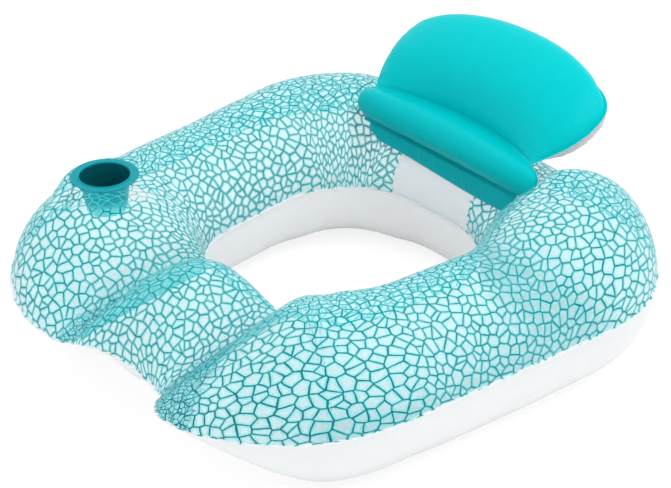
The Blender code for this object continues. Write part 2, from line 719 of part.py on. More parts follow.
def backrest_sheet(front):
    """One film's inner side. front is true for the sitter's side."""
    side = -1.0 if front else 1.0
    fold = math.radians(PILLOW_LEAN - ROLL_LEAN)
    lean = math.radians(ROLL_LEAN)
    bow_run = Vector((0.0, math.cos(lean), math.sin(lean)))
    seam = LIP + ROLL_HEIGHT
    roll = [(0.0, 0.0, 0)]
    for k in range(ROLL_ROWS + 1):
        share = (1.0 + crowded(2.0 * k / ROLL_ROWS - 1.0)) / 2.0
        roll.append((LIP + ROLL_HEIGHT * share, 2.0 * share - 1.0, ROLL_ROWS - k))
    sheet = []
    columns = [-1.0] + [across_share(k) for k in range(BACK_COLUMNS + 1)] + [1.0]

    def place(x, height, puff, across, up, out, foot):
        bow = BACK_BOW * (1.0 - across * across) * min((foot + height) / seam, 1.0)
        spot = foot_up * foot + up * height + out * (side * (GAP / 2.0 + puff)) + bow_run * bow
        return Vector((x, spot.y, spot.z))

    foot_up = Vector((0.0, 0.0, 1.0))
    for height, share, left in roll:
        half = roll_half_width(max(height - LIP, 0.0) / ROLL_HEIGHT)
        row = []
        for k, across in enumerate(columns):
            reach = half + (LIP if k in (0, len(columns) - 1) else 0.0)
            slack = FOLD_SLACK if share > 0.0 and not front else 1.0
            puff = (ROLL_FRONT if front else ROLL_REAR) * crown_shape(across) * crown_shape(share, slack)
            if height == 0.0:
                puff = 0.0
            elif not front and left == 0:
                puff = air_way(half * across)
            row.append(place(reach * (across if abs(across) < 1.0 else math.copysign(1.0, across)), height,
                             puff, across, foot_up, Vector((0.0, 1.0, 0.0)), 0.0))
        sheet.append(row)
    up = Vector((0.0, math.sin(fold), math.cos(fold)))
    out = Vector((0.0, math.cos(fold), -math.sin(fold)))
    rows, shares = pillow_rows()
    for number, (row, share) in enumerate(zip(rows, shares)):
        made = []
        for k, (point, across) in enumerate(zip(row, columns)):
            slack = FOLD_SLACK if share < 0.5 and not front else 1.0
            puff = (PILLOW_FRONT if front else PILLOW_REAR) * crown_shape(across)
            puff = puff * crown_shape(2.0 * share - 1.0, slack) if number < len(rows) - 1 else 0.0
            if not front and number == 0:
                puff = air_way(point.x)
            made.append(place(point.x, point.y + BACK_SEAM, puff, across, up, out, seam))
        sheet.append(made)
    return sheet


def air_way(x):
    """Height of the small passages between roll and pillow that the seam leaves open."""
    off = (abs(x) - AIR_WAY_X) / AIR_WAY_HALF
    return AIR_WAY * math.exp(-off * off)


def hinge_place():
    """The hinge line runs along the weld between the flap and the roll."""
    lean = math.radians(ROLL_LEAN)
    return Matrix.Translation((0.0, HINGE_Y, HINGE_Z)) @ Matrix.Rotation(-lean, 4, "X")


def make_backrest(place):
    """Front and rear films of the roll and pillow, and the valve in the pillow's rear."""
    hinge = bpy.data.objects.new("backrest_hinge", None)
    bpy.context.collection.objects.link(hinge)
    hinge.matrix_world = place
    front = backrest_sheet(True)
    film_between("backrest_front_film", front, offset_sheet(front, -FILM, False), False, "teal film", place)
    rear = backrest_sheet(False)
    i = 1 + ROLL_ROWS + 1 + PILLOW_ROWS // 2
    j = 1 + BACK_COLUMNS // 2
    centre = rear[i][j].copy()
    normal = (rear[i + 1][j] - rear[i - 1][j]).cross(rear[i][j + 1] - rear[i][j - 1]).normalized()
    across = Vector((1.0, 0.0, 0.0))
    flat = draw_flat(rear, i, j, 1, centre, across.cross(normal), across, normal, VALVE_FLAT_RADIUS)
    made = film_between("backrest_back_film", rear, offset_sheet(rear, FILM, False), False, "white film", place)
    valve = place @ Matrix.Translation(normal * FILM) @ flat
    cutter = round_cutter("backrest_valve_hole_guide", VALVE_WEB_RADIUS + GAP, -OVERRUN, OVERRUN,
                          SMALL_STEPS, valve)
    combine(made, cutter, "DIFFERENCE")
    return valve


def ring_surface_height(x, y):
    """Height of the upper film's outer side straight above a point of the plan."""
    top = bpy.data.objects["ring_top_film"]
    hit, spot, _, _ = top.ray_cast(Vector((x, y, HINGE_Z)), Vector((0, 0, -1)))
    return spot.z if hit else 0.0


def make_flap():
    """The film flap that ties the backrest's lower weld down to the ring's inner wall."""
    half = ROLL_WIDTH_LOW / 2.0
    pitch = 2.0 * half / FLAP_COLUMNS
    spread = [half * (2.0 * k / FLAP_COLUMNS - 1.0) for k in range(FLAP_COLUMNS + 1)]
    feet = []
    for x in spread:
        near = [(x + pitch * a / 2.0, FLAP_FOOT_Y + FLAP_THICK * b) for a in (-2, -1, 0, 1, 2) for b in (-1, 0, 1)]
        feet.append(max(ring_surface_height(*spot) for spot in near))
    for _ in range(FLAP_SMOOTHING):
        feet = [max(foot, (before + after) / 2.0)
                for before, foot, after in zip(feet[:1] + feet[:-1], feet, feet[1:] + feet[-1:])]
    low_row = [Vector((x, FLAP_FOOT_Y, foot + GAP)) for x, foot in zip(spread, feet)]
    high_row = [Vector((x, HINGE_Y, HINGE_Z - GAP * 2.0)) for x in spread]
    shift = Vector((0.0, FLAP_THICK / 2.0, 0.0))
    one = [[p - shift for p in row] for row in (low_row, high_row)]
    two = [[p + shift for p in row] for row in (low_row, high_row)]
    film_between("backrest_flap", one, two, False, "teal film")


def main():
    clear_scene()
    cup, ring_valve = make_ring()
    make_cup_holder(cup)
    make_valve("ring", ring_valve, "clear vinyl")
    place = hinge_place()
    backrest_valve = make_backrest(place)
    make_valve("backrest", backrest_valve, "clear vinyl")
    hinge = bpy.data.objects["backrest_hinge"]
    for part in [one for one in bpy.data.objects if one.name.startswith("backrest_") and one != hinge]:
        part.parent = hinge
        part.matrix_parent_inverse = place.inverted()
    bpy.context.view_layer.update()
    make_flap()
    for part in [one for one in bpy.data.objects if one.parent is None]:
        part.location.y -= CHAIR_MIDDLE


main()
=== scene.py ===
# %% [markdown]
# # Inflatable pool chair
# A pool chair is welded from sheets of PVC film and blown up. Almost everything that the eye reads as
# its shape is air pressing on film, so this script redraws each film more finely than the CAD does, in
# the same place but for the few forms named below, and gives it the print, the gloss and the small
# wrinkles of the real one. The cup holder and the valves are firm little mouldings, whose CAD solids
# are right and only need a finish.

import math

import bmesh
import bpy
from mathutils import Matrix, Vector, noise
from mathutils.bvhtree import BVHTree
from mathutils.geometry import intersect_line_line_2d


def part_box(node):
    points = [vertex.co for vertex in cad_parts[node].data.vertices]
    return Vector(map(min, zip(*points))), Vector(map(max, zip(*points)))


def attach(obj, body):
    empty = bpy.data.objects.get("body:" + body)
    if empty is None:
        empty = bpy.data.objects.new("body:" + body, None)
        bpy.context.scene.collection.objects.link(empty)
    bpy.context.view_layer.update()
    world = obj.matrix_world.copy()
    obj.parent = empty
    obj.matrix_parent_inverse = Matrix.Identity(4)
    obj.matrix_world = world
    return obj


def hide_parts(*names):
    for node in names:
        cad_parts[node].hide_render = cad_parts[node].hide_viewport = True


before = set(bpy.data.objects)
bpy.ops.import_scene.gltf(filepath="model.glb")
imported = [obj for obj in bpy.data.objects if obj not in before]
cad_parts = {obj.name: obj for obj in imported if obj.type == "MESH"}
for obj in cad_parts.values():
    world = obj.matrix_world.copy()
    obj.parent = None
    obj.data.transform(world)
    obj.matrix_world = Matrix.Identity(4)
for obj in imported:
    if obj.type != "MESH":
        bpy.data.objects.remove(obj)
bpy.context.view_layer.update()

# %% [markdown]
# ## Measures
# Named values as in the part's source, in metres, so that each film lies where its solid lies. A few
# differ from the solids, where the photograph asked for more: the corners in front, the right crease,
# the notches, the leg bar's depth, the rear corners, the roll's ends and the flap.
# Everything is drawn about the ring's middle, then moved to the chair's own middle. Left and right
# are the sitter's.

# %% Sizes of the ring
CHAIR_MIDDLE = 0.0225
FILM = 0.0003
GAP = 0.0003
LIP = 0.005
RING_WIDTH_BACK, RING_WIDTH_FRONT, RING_LENGTH = 1.000, 0.866, 0.966
RING_CORNER_FRONT, RING_CORNER_BACK = 0.294, 0.257
ARM_TUBE_BACK, ARM_TUBE_FRONT, BACK_TUBE, BAR_TUBE = 0.266, 0.245, 0.222, 0.250
HOLE_CORNER_FRONT, HOLE_CORNER_BACK = 0.140, 0.165
WELD_PLANE = 0.140
ARM_RISE, FRONT_CORNER_RISE, BACK_RISE = 0.126, 0.132, 0.095
BAR_RISE, BAR_DROP = 0.104, 0.066
FRONT_DROOP = 0.012
CONTACT_SHARE = 0.965
CUP_HOLE_RADIUS, VALVE_HOLE_RADIUS = 0.0459, 0.0121
UPPER_ROUNDNESS, LOWER_ROUNDNESS, WALL_ROUNDNESS, WALL_HALF = 2.0, 2.3, 4.0, 0.085
PRESSED_ROUNDNESS, PRESSED_X, PRESSED_REACH = 1.20, 0.215, 0.090
print("ring", RING_WIDTH_BACK, "by", RING_LENGTH, "m along its outer weld")

# %% Sizes of the creases beside the leg bar
CREASE_OUTER_X, CREASE_INNER_X = 0.130, 0.105
RIGHT_OUTER_X, RIGHT_INNER_X = 0.098, 0.102
BAR_LENGTH = (CREASE_OUTER_X + CREASE_INNER_X + RIGHT_OUTER_X + RIGHT_INNER_X) / 2.0
CREASE_HALF_WIDTH = 0.004
NOTCH_RIGHT, NOTCH_LEFT = 0.016, 0.040
CREASE_AIR_WAY = 0.006
BAR_INSET = 0.054
UPPER_LOBE, LOWER_LOBE, BAR_LOBE, NOTCH_LENGTH = 0.202, 0.205, 0.112, 0.062
MIDDLE_CORNER_FRONT = 0.196
LOBE_UPRIGHT, LOBE_SLOPING = 0.5, 0.9
LOWER_LOBE_RIGHT = 0.80
PLAN_STEPS = 80
print("leg bar", CREASE_OUTER_X + RIGHT_OUTER_X, "m wide")

# %% Sizes of the backrest
HINGE_Y, HINGE_Z = 0.268, 0.250
ROLL_LEAN, PILLOW_LEAN = 28.0, 65.0
ROLL_HEIGHT, BACK_SEAM, PILLOW_HEIGHT = 0.056, 0.006, 0.204
ROLL_WIDTH_LOW, ROLL_WIDTH_HIGH, ROLL_END_BULGE = 0.392, 0.400, 0.029
PILLOW_WIDTH, PILLOW_WIDEST_SHARE, PILLOW_ROUNDNESS = 0.486, 0.54, 3.0
SHOULDER, LIP_SPREAD = 50.0, 22.0
BACK_BOW = 0.035
ROLL_FRONT, ROLL_REAR, PILLOW_FRONT, PILLOW_REAR = 0.046, 0.040, 0.062, 0.066
CROWN_ROUNDNESS, FOLD_SLACK = 2.2, 2.0
LIP_TUCK = 0.0012
ROLL_PEAK, ROLL_BLUNTNESS, PILLOW_SLACK = 0.25, 3.6, 1.6
FLAP_FOOT_Y, FLAP_THICK = 0.267, 0.0006
print("backrest", PILLOW_WIDTH, "m wide")


# %% [markdown]
# ## Small helpers
# `blend` mixes two values, and `ease` is the smooth step that every soft transition here uses.
# Colours are written as the hex values that a picture editor shows and turned into the linear values
# that Blender's shaders work in.

# %% Blend, ease and colour
def blend(low, high, share):
    return low + (high - low) * share


def ease(share):
    share = min(max(share, 0.0), 1.0)
    return share * share * (3.0 - 2.0 * share)


def linear(hex_colour):
    """A hex sRGB colour as linear red, green, blue and alpha."""
    parts = [int(hex_colour[k:k + 2], 16) / 255.0 for k in (1, 3, 5)]
    return [c / 12.92 if c <= 0.04045 else ((c + 0.055) / 1.055) ** 2.4 for c in parts] + [1.0]


print("teal film is", [round(c, 3) for c in linear("#00C8CD")])


# %% [markdown]
# ## The ring's plan
# The ring is two flat sheets welded along an outer and an inner line. Seen from above each line is a
# rectangle with rounded corners. A third line runs along the middle of the tube, and cuts square to
# it meet both welds: those cuts are the stations on which the film is drawn.

# %% Rounded rectangles and distances along them
def rounded_corner(before, corner, after, radius):
    back = (before - corner).normalized()
    on = (after - corner).normalized()
    half = back.angle(on) / 2.0
    centre = corner + (back + on).normalized() * (radius / math.sin(half))
    start = corner + back * (radius / math.tan(half)) - centre
    end = corner + on * (radius / math.tan(half)) - centre
    turn = start.angle_signed(end)
    first = math.atan2(start.y, start.x)
    angles = [first - turn * k / PLAN_STEPS for k in range(PLAN_STEPS + 1)]
    return [centre + Vector((math.cos(a), math.sin(a))) * radius for a in angles]


def rounded_plan(half_front, half_back, front, back, radius_front, radius_back):
    corners = [Vector((half_front, front)), Vector((half_back, back)),
               Vector((-half_back, back)), Vector((-half_front, front))]
    radii = [radius_front, radius_back, radius_back, radius_front]
    route = []
    for k, corner in enumerate(corners):
        route += rounded_corner(corners[k - 1], corner, corners[(k + 1) % 4], radii[k])
    return route


def running_lengths(route):
    lengths = [0.0]
    for one, two in zip(route, route[1:]):
        lengths.append(lengths[-1] + (two - one).length)
    return lengths


def along(route, lengths, distance):
    """The point at a distance along a route, and the direction it runs in there."""
    k = 1
    while k < len(route) - 1 and lengths[k] < distance:
        k += 1
    run = route[k] - route[k - 1]
    return route[k - 1] + run * ((distance - lengths[k - 1]) / run.length), run.normalized()


def crossing(route, start, direction):
    """Where a line from start first meets the closed route."""
    hits = []
    for a, b in zip(route, route[1:] + route[:1]):
        hit = intersect_line_line_2d(start, start + direction, a, b)
        if hit:
            hits.append(hit)
    return min(hits, key=lambda hit: (hit - start).length)


front_edge = -RING_LENGTH / 2.0
outer_weld = rounded_plan(RING_WIDTH_FRONT / 2.0, RING_WIDTH_BACK / 2.0, front_edge, -front_edge,
                          RING_CORNER_FRONT, RING_CORNER_BACK)
inner_weld = rounded_plan(RING_WIDTH_FRONT / 2.0 - ARM_TUBE_FRONT, RING_WIDTH_BACK / 2.0 - ARM_TUBE_BACK,
                          front_edge + BAR_INSET + BAR_TUBE, -front_edge - BACK_TUBE,
                          HOLE_CORNER_FRONT, HOLE_CORNER_BACK)
middle_front = front_edge + (BAR_INSET + BAR_TUBE) / 2.0
crease_x = (CREASE_OUTER_X + CREASE_INNER_X) / 2.0
middle_line = ([Vector((crease_x, middle_front))]
               + rounded_plan((RING_WIDTH_FRONT - ARM_TUBE_FRONT) / 2.0,
                              (RING_WIDTH_BACK - ARM_TUBE_BACK) / 2.0,
                              middle_front, (RING_LENGTH - BACK_TUBE) / 2.0,
                              MIDDLE_CORNER_FRONT, (RING_CORNER_BACK + HOLE_CORNER_BACK) / 2.0)
               + [Vector((-(RIGHT_OUTER_X + RIGHT_INNER_X) / 2.0, middle_front))])
print("middle line is", round(running_lengths(middle_line)[-1], 3), "m long")


# %% [markdown]
# ## Swelling
# Near each crease the two films are held together, and the tube swells up from there over 6 to 20 cm.
# The functions give how far it has swollen at a distance from the crease, and how high the film
# stands in the arms, the corners and the lower back.

# %% How the tube swells
def lobe_share(distance, total, lobe):
    return min(max((min(distance, total - distance) - CREASE_HALF_WIDTH) / lobe, 0.0), 1.0)


def swell(distance, total, lobe, fullness):
    return (1.0 - (1.0 - lobe_share(distance, total, lobe)) ** 2) ** fullness


# For each rear corner: its rise, then where the rise starts and over how much it grows, first along
# the ring as shares of its length, then across as shares of the tube's distance from the middle.
LEFT_REAR = (0.160, 0.10, 0.16, 0.41, 0.29)
RIGHT_REAR = (0.140, 0.02, 0.22, 0.42, 0.36)
FRONT_START, FRONT_REACH = 0.18, 0.12


def ring_rise(place):
    rise, start, reach, side_start, side_reach = LEFT_REAR if place.x > 0.0 else RIGHT_REAR
    back_mix = ease((place.y - RING_LENGTH * start) / (RING_LENGTH * reach))
    side = abs(place.x) / (RING_WIDTH_BACK / 2.0 - ARM_TUBE_BACK / 2.0)
    rear = blend(BACK_RISE, rise, ease((side - side_start) / side_reach))
    front_mix = ease((-place.y - RING_LENGTH * FRONT_START) / (RING_LENGTH * FRONT_REACH))
    return blend(blend(ARM_RISE, FRONT_CORNER_RISE, front_mix), rear, back_mix)


def notch(x):
    """How far the outer weld is drawn in at the crease on this side of the chair."""
    return NOTCH_LEFT if x > 0.0 else NOTCH_RIGHT


class Station:
    """One cut across the tube: its weld points, its heights and how it is drawn up."""

    def __init__(self, outer, inner, rise, drop, full, droop, wall, distance):
        self.outer, self.inner = outer, inner
        self.rise, self.drop, self.droop, self.wall = rise, drop, droop, wall
        self.air = CREASE_AIR_WAY * (1.0 - full)
        self.middle = (outer + inner) / 2.0
        self.half = (outer - inner).length / 2.0
        self.outward = (outer - inner).normalized()
        self.distance = distance


# %% Stations round the arms and back, and across the leg bar
ARM_PITCH, BAR_END = 0.008, 0.040
WALL_BLEND = 1.6
END_SHARES = [(k / 12.0) ** 1.7 for k in range(12)]


def station_distances(total, lobe, pitch):
    ends = [CREASE_HALF_WIDTH + lobe * share for share in END_SHARES]
    start = CREASE_HALF_WIDTH + lobe
    count = round((total - 2.0 * start) / pitch)
    inside = [blend(start, total - start, k / count) for k in range(count + 1)]
    return ends + inside + [total - d for d in reversed(ends)]


def arm_stations():
    lengths = running_lengths(middle_line)
    total = lengths[-1]
    floor_drop = WELD_PLANE - GAP / 2.0 - FILM
    stations = []
    for distance in station_distances(total, NOTCH_LENGTH, ARM_PITCH):
        middle, run = along(middle_line, lengths, distance)
        full = swell(distance, total, NOTCH_LENGTH, LOBE_UPRIGHT)
        near = min(distance, total - distance) / NOTCH_LENGTH
        lean = CREASE_OUTER_X - CREASE_INNER_X if middle.x > 0.0 else RIGHT_INNER_X - RIGHT_OUTER_X
        side = Vector((lean, -BAR_INSET - BAR_TUBE)).normalized()
        across = Vector((run.y, -run.x)).lerp(side, 1.0 - ease(near)).normalized()
        out = crossing(outer_weld, middle, across) - across * (notch(middle.x) * (1.0 - full))
        inn = crossing(inner_weld, middle, -across)
        rise = ring_rise((out + inn) / 2.0) * swell(distance, total, UPPER_LOBE, LOBE_SLOPING)
        lobe = LOWER_LOBE * (1.0 if middle.x > 0.0 else LOWER_LOBE_RIGHT)
        low = ease(lobe_share(distance, total, lobe))
        drawn = ease(WALL_BLEND - abs(middle.x) / WALL_HALF) if middle.y > 0.0 else 0.0
        pressed = ease(1.0 - abs(abs(middle.x) - PRESSED_X) / PRESSED_REACH) if middle.y > 0.0 else 0.0
        wall = blend(blend(UPPER_ROUNDNESS, WALL_ROUNDNESS, drawn), PRESSED_ROUNDNESS, pressed)
        stations.append(Station(out, inn, rise, floor_drop * low, full, FRONT_DROOP * (1.0 - low), wall,
                                distance))
    return stations


def bar_stations():
    total = BAR_LENGTH
    stations = []
    for distance in station_distances(total, BAR_END, ARM_PITCH):
        share = 2.0 * distance / total - 1.0
        outer_x = blend(-RIGHT_OUTER_X, CREASE_OUTER_X, distance / total)
        inner_x = blend(-RIGHT_INNER_X, CREASE_INNER_X, distance / total)
        full = swell(distance, total, BAR_LOBE, LOBE_UPRIGHT)
        draw = blend(BAR_INSET, notch(share), share * share)
        out = Vector((outer_x, front_edge + draw))
        inn = crossing(inner_weld, Vector((inner_x, middle_front)), Vector((0.0, 1.0)))
        drop = BAR_DROP * ease(lobe_share(distance, total, BAR_LOBE))
        stations.append(Station(out, inn, BAR_RISE * full, drop, full, FRONT_DROOP, UPPER_ROUNDNESS,
                                distance))
    return stations


arms = arm_stations()
bar = bar_stations()
stations = arms + bar
print(len(arms), "stations round the arms,", len(bar), "across the bar")

# %% [markdown]
# ## The film across the tube
# Each station carries a row of points from the outer weld over the tube to the inner weld. The
# section is a superellipse: exponent 2 is an ellipse, and 4 gives the upright wall that the backrest's
# flap draws up. The sheet is kept as rows, because the print needs to know where each point lay
# before the sheet was blown up.

# %% Rows of points for one film
SECTION_STEPS = 44
AIR_WAY_PLACE, AIR_WAY_SPREAD = 0.11, 0.05


def section_point(station, k, upper):
    angle = math.pi * k / SECTION_STEPS
    roundness = LOWER_ROUNDNESS
    if upper:
        roundness = UPPER_ROUNDNESS if math.cos(angle) > 0.0 else station.wall
    power = 2.0 / roundness
    across = math.copysign(abs(math.cos(angle)) ** power, math.cos(angle))
    height = max(math.sin(angle), 0.0) ** power
    flat = station.middle + station.outward * (station.half * across)
    level = WELD_PLANE - station.droop * across
    if upper:
        from_weld = min(k, SECTION_STEPS - k) / SECTION_STEPS
        open_way = station.air * math.exp(-((from_weld - AIR_WAY_PLACE) / AIR_WAY_SPREAD) ** 2)
        level += GAP / 2.0 + max(station.rise * height, open_way)
    else:
        level -= GAP / 2.0 + station.drop * min(height / CONTACT_SHARE, 1.0)
    return Vector((flat.x, flat.y, level))


def lip_point(station, side, upper):
    flat = station.middle + station.outward * (station.half + LIP) * side
    level = WELD_PLANE - station.droop * side + (GAP / 2.0 if upper else -GAP / 2.0)
    return Vector((flat.x, flat.y, level))


def ring_rows(upper):
    rows = []
    for station in stations:
        row = [section_point(station, k, upper) for k in range(SECTION_STEPS + 1)]
        rows.append([lip_point(station, 1, upper)] + row + [lip_point(station, -1, upper)])
    return rows


upper_rows = ring_rows(True)
lower_rows = ring_rows(False)
print(len(upper_rows) * len(upper_rows[0]), "points in each film of the ring")


# %% [markdown]
# The print is laid out on the flat sheet. Its length along the tube is the film's own along the
# crown, and its width is the film's own across. A real sheet gathers round the inside of each corner,
# so the flat sheet bends only a quarter as far as the ring does, which keeps all cells about as large.

# %% Where each point lay in the flat sheet
def arc_lengths(row):
    """Distance along a row from its outer lip."""
    lengths = [0.0]
    for one, two in zip(row, row[1:]):
        lengths.append(lengths[-1] + (two - one).length)
    return lengths


CREASE_GATHER, GATHER_REACH = 0.7, 0.012
BEND_SHARE = 0.25


def from_crease(station):
    """Distance along the tube to the nearer crease."""
    total = BAR_LENGTH if station in bar else arms[-1].distance
    return min(station.distance, total - station.distance)


def flat_places(rows):
    """Places in the flat sheet, row by row; the last row is the first one again, a full turn on."""
    crown = len(rows[0]) // 2
    places = []
    spot, heading = Vector((0.0, 0.0)), 0.0
    order = list(range(len(rows))) + [0]
    for k, now in enumerate(order):
        if k:
            before = order[k - 1]
            step = (rows[now][crown] - rows[before][crown]).length
            step *= 1.0 + CREASE_GATHER * math.exp(-from_crease(stations[now]) / GATHER_REACH)
            turned = stations[before].outward.angle_signed(stations[now].outward)
            heading -= turned * BEND_SHARE / 2.0
            spot = spot + Vector((math.cos(heading), math.sin(heading))) * step
            heading -= turned * BEND_SHARE / 2.0
        across = Vector((math.sin(heading), -math.cos(heading)))
        arcs = arc_lengths(rows[now])
        places.append([spot + across * (arcs[-1] / 2.0 - arc) for arc in arcs])
    return places


upper_flat = flat_places(upper_rows)
print("flat sheet reaches", [round(v, 3) for v in upper_flat[len(arms) // 4][0]])

# %% [markdown]
# ## Flat places for the cup holder and the valve
# The cup holder's flange and the valve are welded on flat, so the film is drawn level under them and
# runs back to its own curve around them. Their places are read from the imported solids.

# %% Draw the upper film level under the flange and the valve
FLANGE_STEP = 0.0006
SEAT_MARGIN = 0.001
CUP_SEAT_BLEND, VALVE_SEAT_BLEND = 0.036, 0.020
WELD_ZONE = 0.003
low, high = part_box("cup_flange")
cup_middle = (low + high) / 2.0
cup_middle.y += CHAIR_MIDDLE
cup_level = low.z - 2.0 * GAP - FLANGE_STEP
cup_radius = (high.x - low.x) / 2.0
low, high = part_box("ring_valve_flange")
valve_middle = (low + high) / 2.0
valve_middle.y += CHAIR_MIDDLE
valve_level = low.z - GAP
valve_radius = (high.x - low.x) / 2.0
for row in upper_rows:
    for point in row[1:-1]:
        for middle, level, radius, reach in ((cup_middle, cup_level, cup_radius, CUP_SEAT_BLEND),
                                             (valve_middle, valve_level, valve_radius, VALVE_SEAT_BLEND)):
            away = math.hypot(point.x - middle.x, point.y - middle.y) - radius - SEAT_MARGIN
            if away < reach and point.z > WELD_PLANE + WELD_ZONE:
                point.z = blend(level - FILM, point.z, ease(away / reach))
print("cup flange radius", round(cup_radius, 4), "at height", round(cup_level, 4))

# %% [markdown]
# ## Puckers
# A flat sheet can't follow a corner without gathering. The real chair has fine puckers that fan out
# from the welds, strongest at the ends of the creases and round the corners, and gone a few
# centimetres up the tube. A wave along the weld with a wandering phase, faded by distance, draws them
# without a simulation, and the same way on every run.

# %% Add puckers to the ring's films
def sheet_normals(rows, ring):
    count = len(rows)
    normals = [[Vector() for _ in row] for row in rows]
    for i in range(count if ring else count - 1):
        for j in range(len(rows[0]) - 1):
            corners = [(i, j), ((i + 1) % count, j), ((i + 1) % count, j + 1), (i, j + 1)]
            a, b, c, d = [rows[m][n] for m, n in corners]
            facing = (c - a).cross(d - b).normalized()
            for m, n in corners:
                normals[m][n] += facing
    return [[normal.normalized() for normal in row] for row in normals]


def gathers(distance, spacing, seed):
    """A wave whose spacing and height wander, for the folds that run out from a weld."""
    drift = noise.noise(Vector((distance / (spacing * 4.0), seed, 0.0)))
    depth = 0.55 + 0.45 * noise.noise(Vector((distance / (spacing * 2.5), seed, 7.3)))
    return math.sin(math.tau * (distance / spacing + 1.6 * drift)) * depth


def corner_share(station):
    """1 where the ring turns a corner or meets a crease, less along its straight sides."""
    turn = ease((abs(station.middle.y) - 0.20) / 0.16) * ease((abs(station.middle.x) - 0.10) / 0.14)
    return max(turn, 1.0 - ease((station.distance - 0.01) / 0.10) if station in crease_side else turn)


crease_side = set(arms[:14] + arms[-14:])


# Spacing, seed, reach and depth of the folds. Those from the welds have two depths, on the straight
# sides and in the corners.
OUTER_FOLDS = (0.017, 1.0, 0.020, 0.0006, 0.0022)
INNER_FOLDS = (0.014, 5.0, 0.016, 0.0003, 0.0007)
CREASE_FOLDS = (0.019, 9.0, 0.022, 0.0016)
CUP_SMOOTH, FLOOR_SMOOTH = 0.01, 0.02


def weld_folds(distance, from_weld, turn, folds):
    spacing, seed, reach, straight, corner = folds
    return gathers(distance, spacing, seed) * math.exp(-from_weld / reach) * blend(straight, corner, turn)


def pucker_ring(rows, upper):
    sign = 1.0 if upper else -1.0
    normals = sheet_normals(rows, True)
    for i, (row, station) in enumerate(zip(rows, stations)):
        arcs = arc_lengths(row)
        turn = corner_share(station)
        along_ring = station.distance + (10.0 if i >= len(arms) else 0.0)
        crease_gap = from_crease(station)
        for j in range(2, len(row) - 2):
            out, inn = arcs[j] - arcs[1], arcs[-2] - arcs[j]
            wave = weld_folds(along_ring, out, turn, OUTER_FOLDS)
            wave += weld_folds(along_ring, inn, turn, INNER_FOLDS)
            wave *= min(1.0, out / 0.008) * min(1.0, inn / 0.008)
            spacing, seed, crease_reach, depth = CREASE_FOLDS
            wave += (gathers(arcs[j], spacing, seed) * math.exp(-crease_gap / crease_reach) * depth
                     * min(1.0, crease_gap / 0.010) * min(1.0, out / 0.02) * min(1.0, inn / 0.02))
            away = math.hypot(row[j].x - cup_middle.x, row[j].y - cup_middle.y)
            if upper and away < cup_radius + CUP_SMOOTH:
                continue
            if not upper and row[j].z < FLOOR_SMOOTH:
                continue
            row[j] += normals[i][j] * (wave * sign)


pucker_ring(upper_rows, True)
pucker_ring(lower_rows, False)
print("puckers drawn at spacings of 14 to 19 mm")


# %% [markdown]
# ## From rows to a closed film
# A film is a shell 0.3 mm thick: the rows, the same rows moved out along their normals, and a narrow
# strip that closes each free edge. Extra layers of data travel with the points: `flat_sheet` is the
# place in the flat sheet, in metres, on which the print is drawn, `print_reach` how far inside the
# printed area a point lies, `fold` how near it is to a crease, where the film lies in folds, and
# `taut` marks the film before the cup's sleeve. On the backrest, a further layer says how light the
# teal is painted: painted shade towards the bottom of the roll, painted light towards the top of the
# pillow.

# %% Build a shell from rows
SHARP_EDGE = math.radians(60.0)
UP = Vector((0.0, 0.0, 1.0))


def shell(name, rows, distance, ring, flat=None, values=None):
    count, columns = len(rows), len(rows[0])
    normals = sheet_normals(rows, ring)
    outside = [[p + n * distance for p, n in zip(row, line)] for row, line in zip(rows, normals)]
    shift = Vector((0.0, CHAIR_MIDDLE, 0.0))
    points = [p - shift for sheet in (rows, outside) for row in sheet for p in row]
    faces = []
    for i in range(count if ring else count - 1):
        m = (i + 1) % count
        for j in range(columns - 1):
            a, b, c, d = i * columns + j, m * columns + j, m * columns + j + 1, i * columns + j + 1
            faces.append((a, b, c, d))
            faces.append(tuple(v + count * columns for v in (a, d, c, b)))
        for j in (0, columns - 1):
            a, b = i * columns + j, m * columns + j
            faces.append((a, b, b + count * columns, a + count * columns))
    if not ring:
        for i in (0, count - 1):
            for j in range(columns - 1):
                a, b = i * columns + j, i * columns + j + 1
                faces.append((a, b, b + count * columns, a + count * columns))
    mesh = bpy.data.meshes.new(name)
    mesh.from_pydata(points, [], faces)
    if flat is not None:
        layer = mesh.uv_layers.new(name="flat_sheet")
        for face in mesh.polygons:
            lines = [v % (count * columns) // columns for v in face.vertices]
            closing = max(lines) - min(lines) > 1
            for corner, v, line in zip(face.loop_indices, face.vertices, lines):
                layer.data[corner].uv = flat[count if closing and line == 0 else line][v % columns]
    for label, table in dict(values or {}).items():
        layer = mesh.attributes.new(label, "FLOAT", "POINT")
        layer.data.foreach_set("value", [v for _ in (0, 1) for row in table for v in row])
    work = bmesh.new()
    work.from_mesh(mesh)
    bmesh.ops.recalc_face_normals(work, faces=work.faces)
    work.to_mesh(mesh)
    work.free()
    mesh.shade_smooth()
    mesh.set_sharp_from_angle(angle=SHARP_EDGE)
    piece = bpy.data.objects.new(name, mesh)
    bpy.context.collection.objects.link(piece)
    return piece


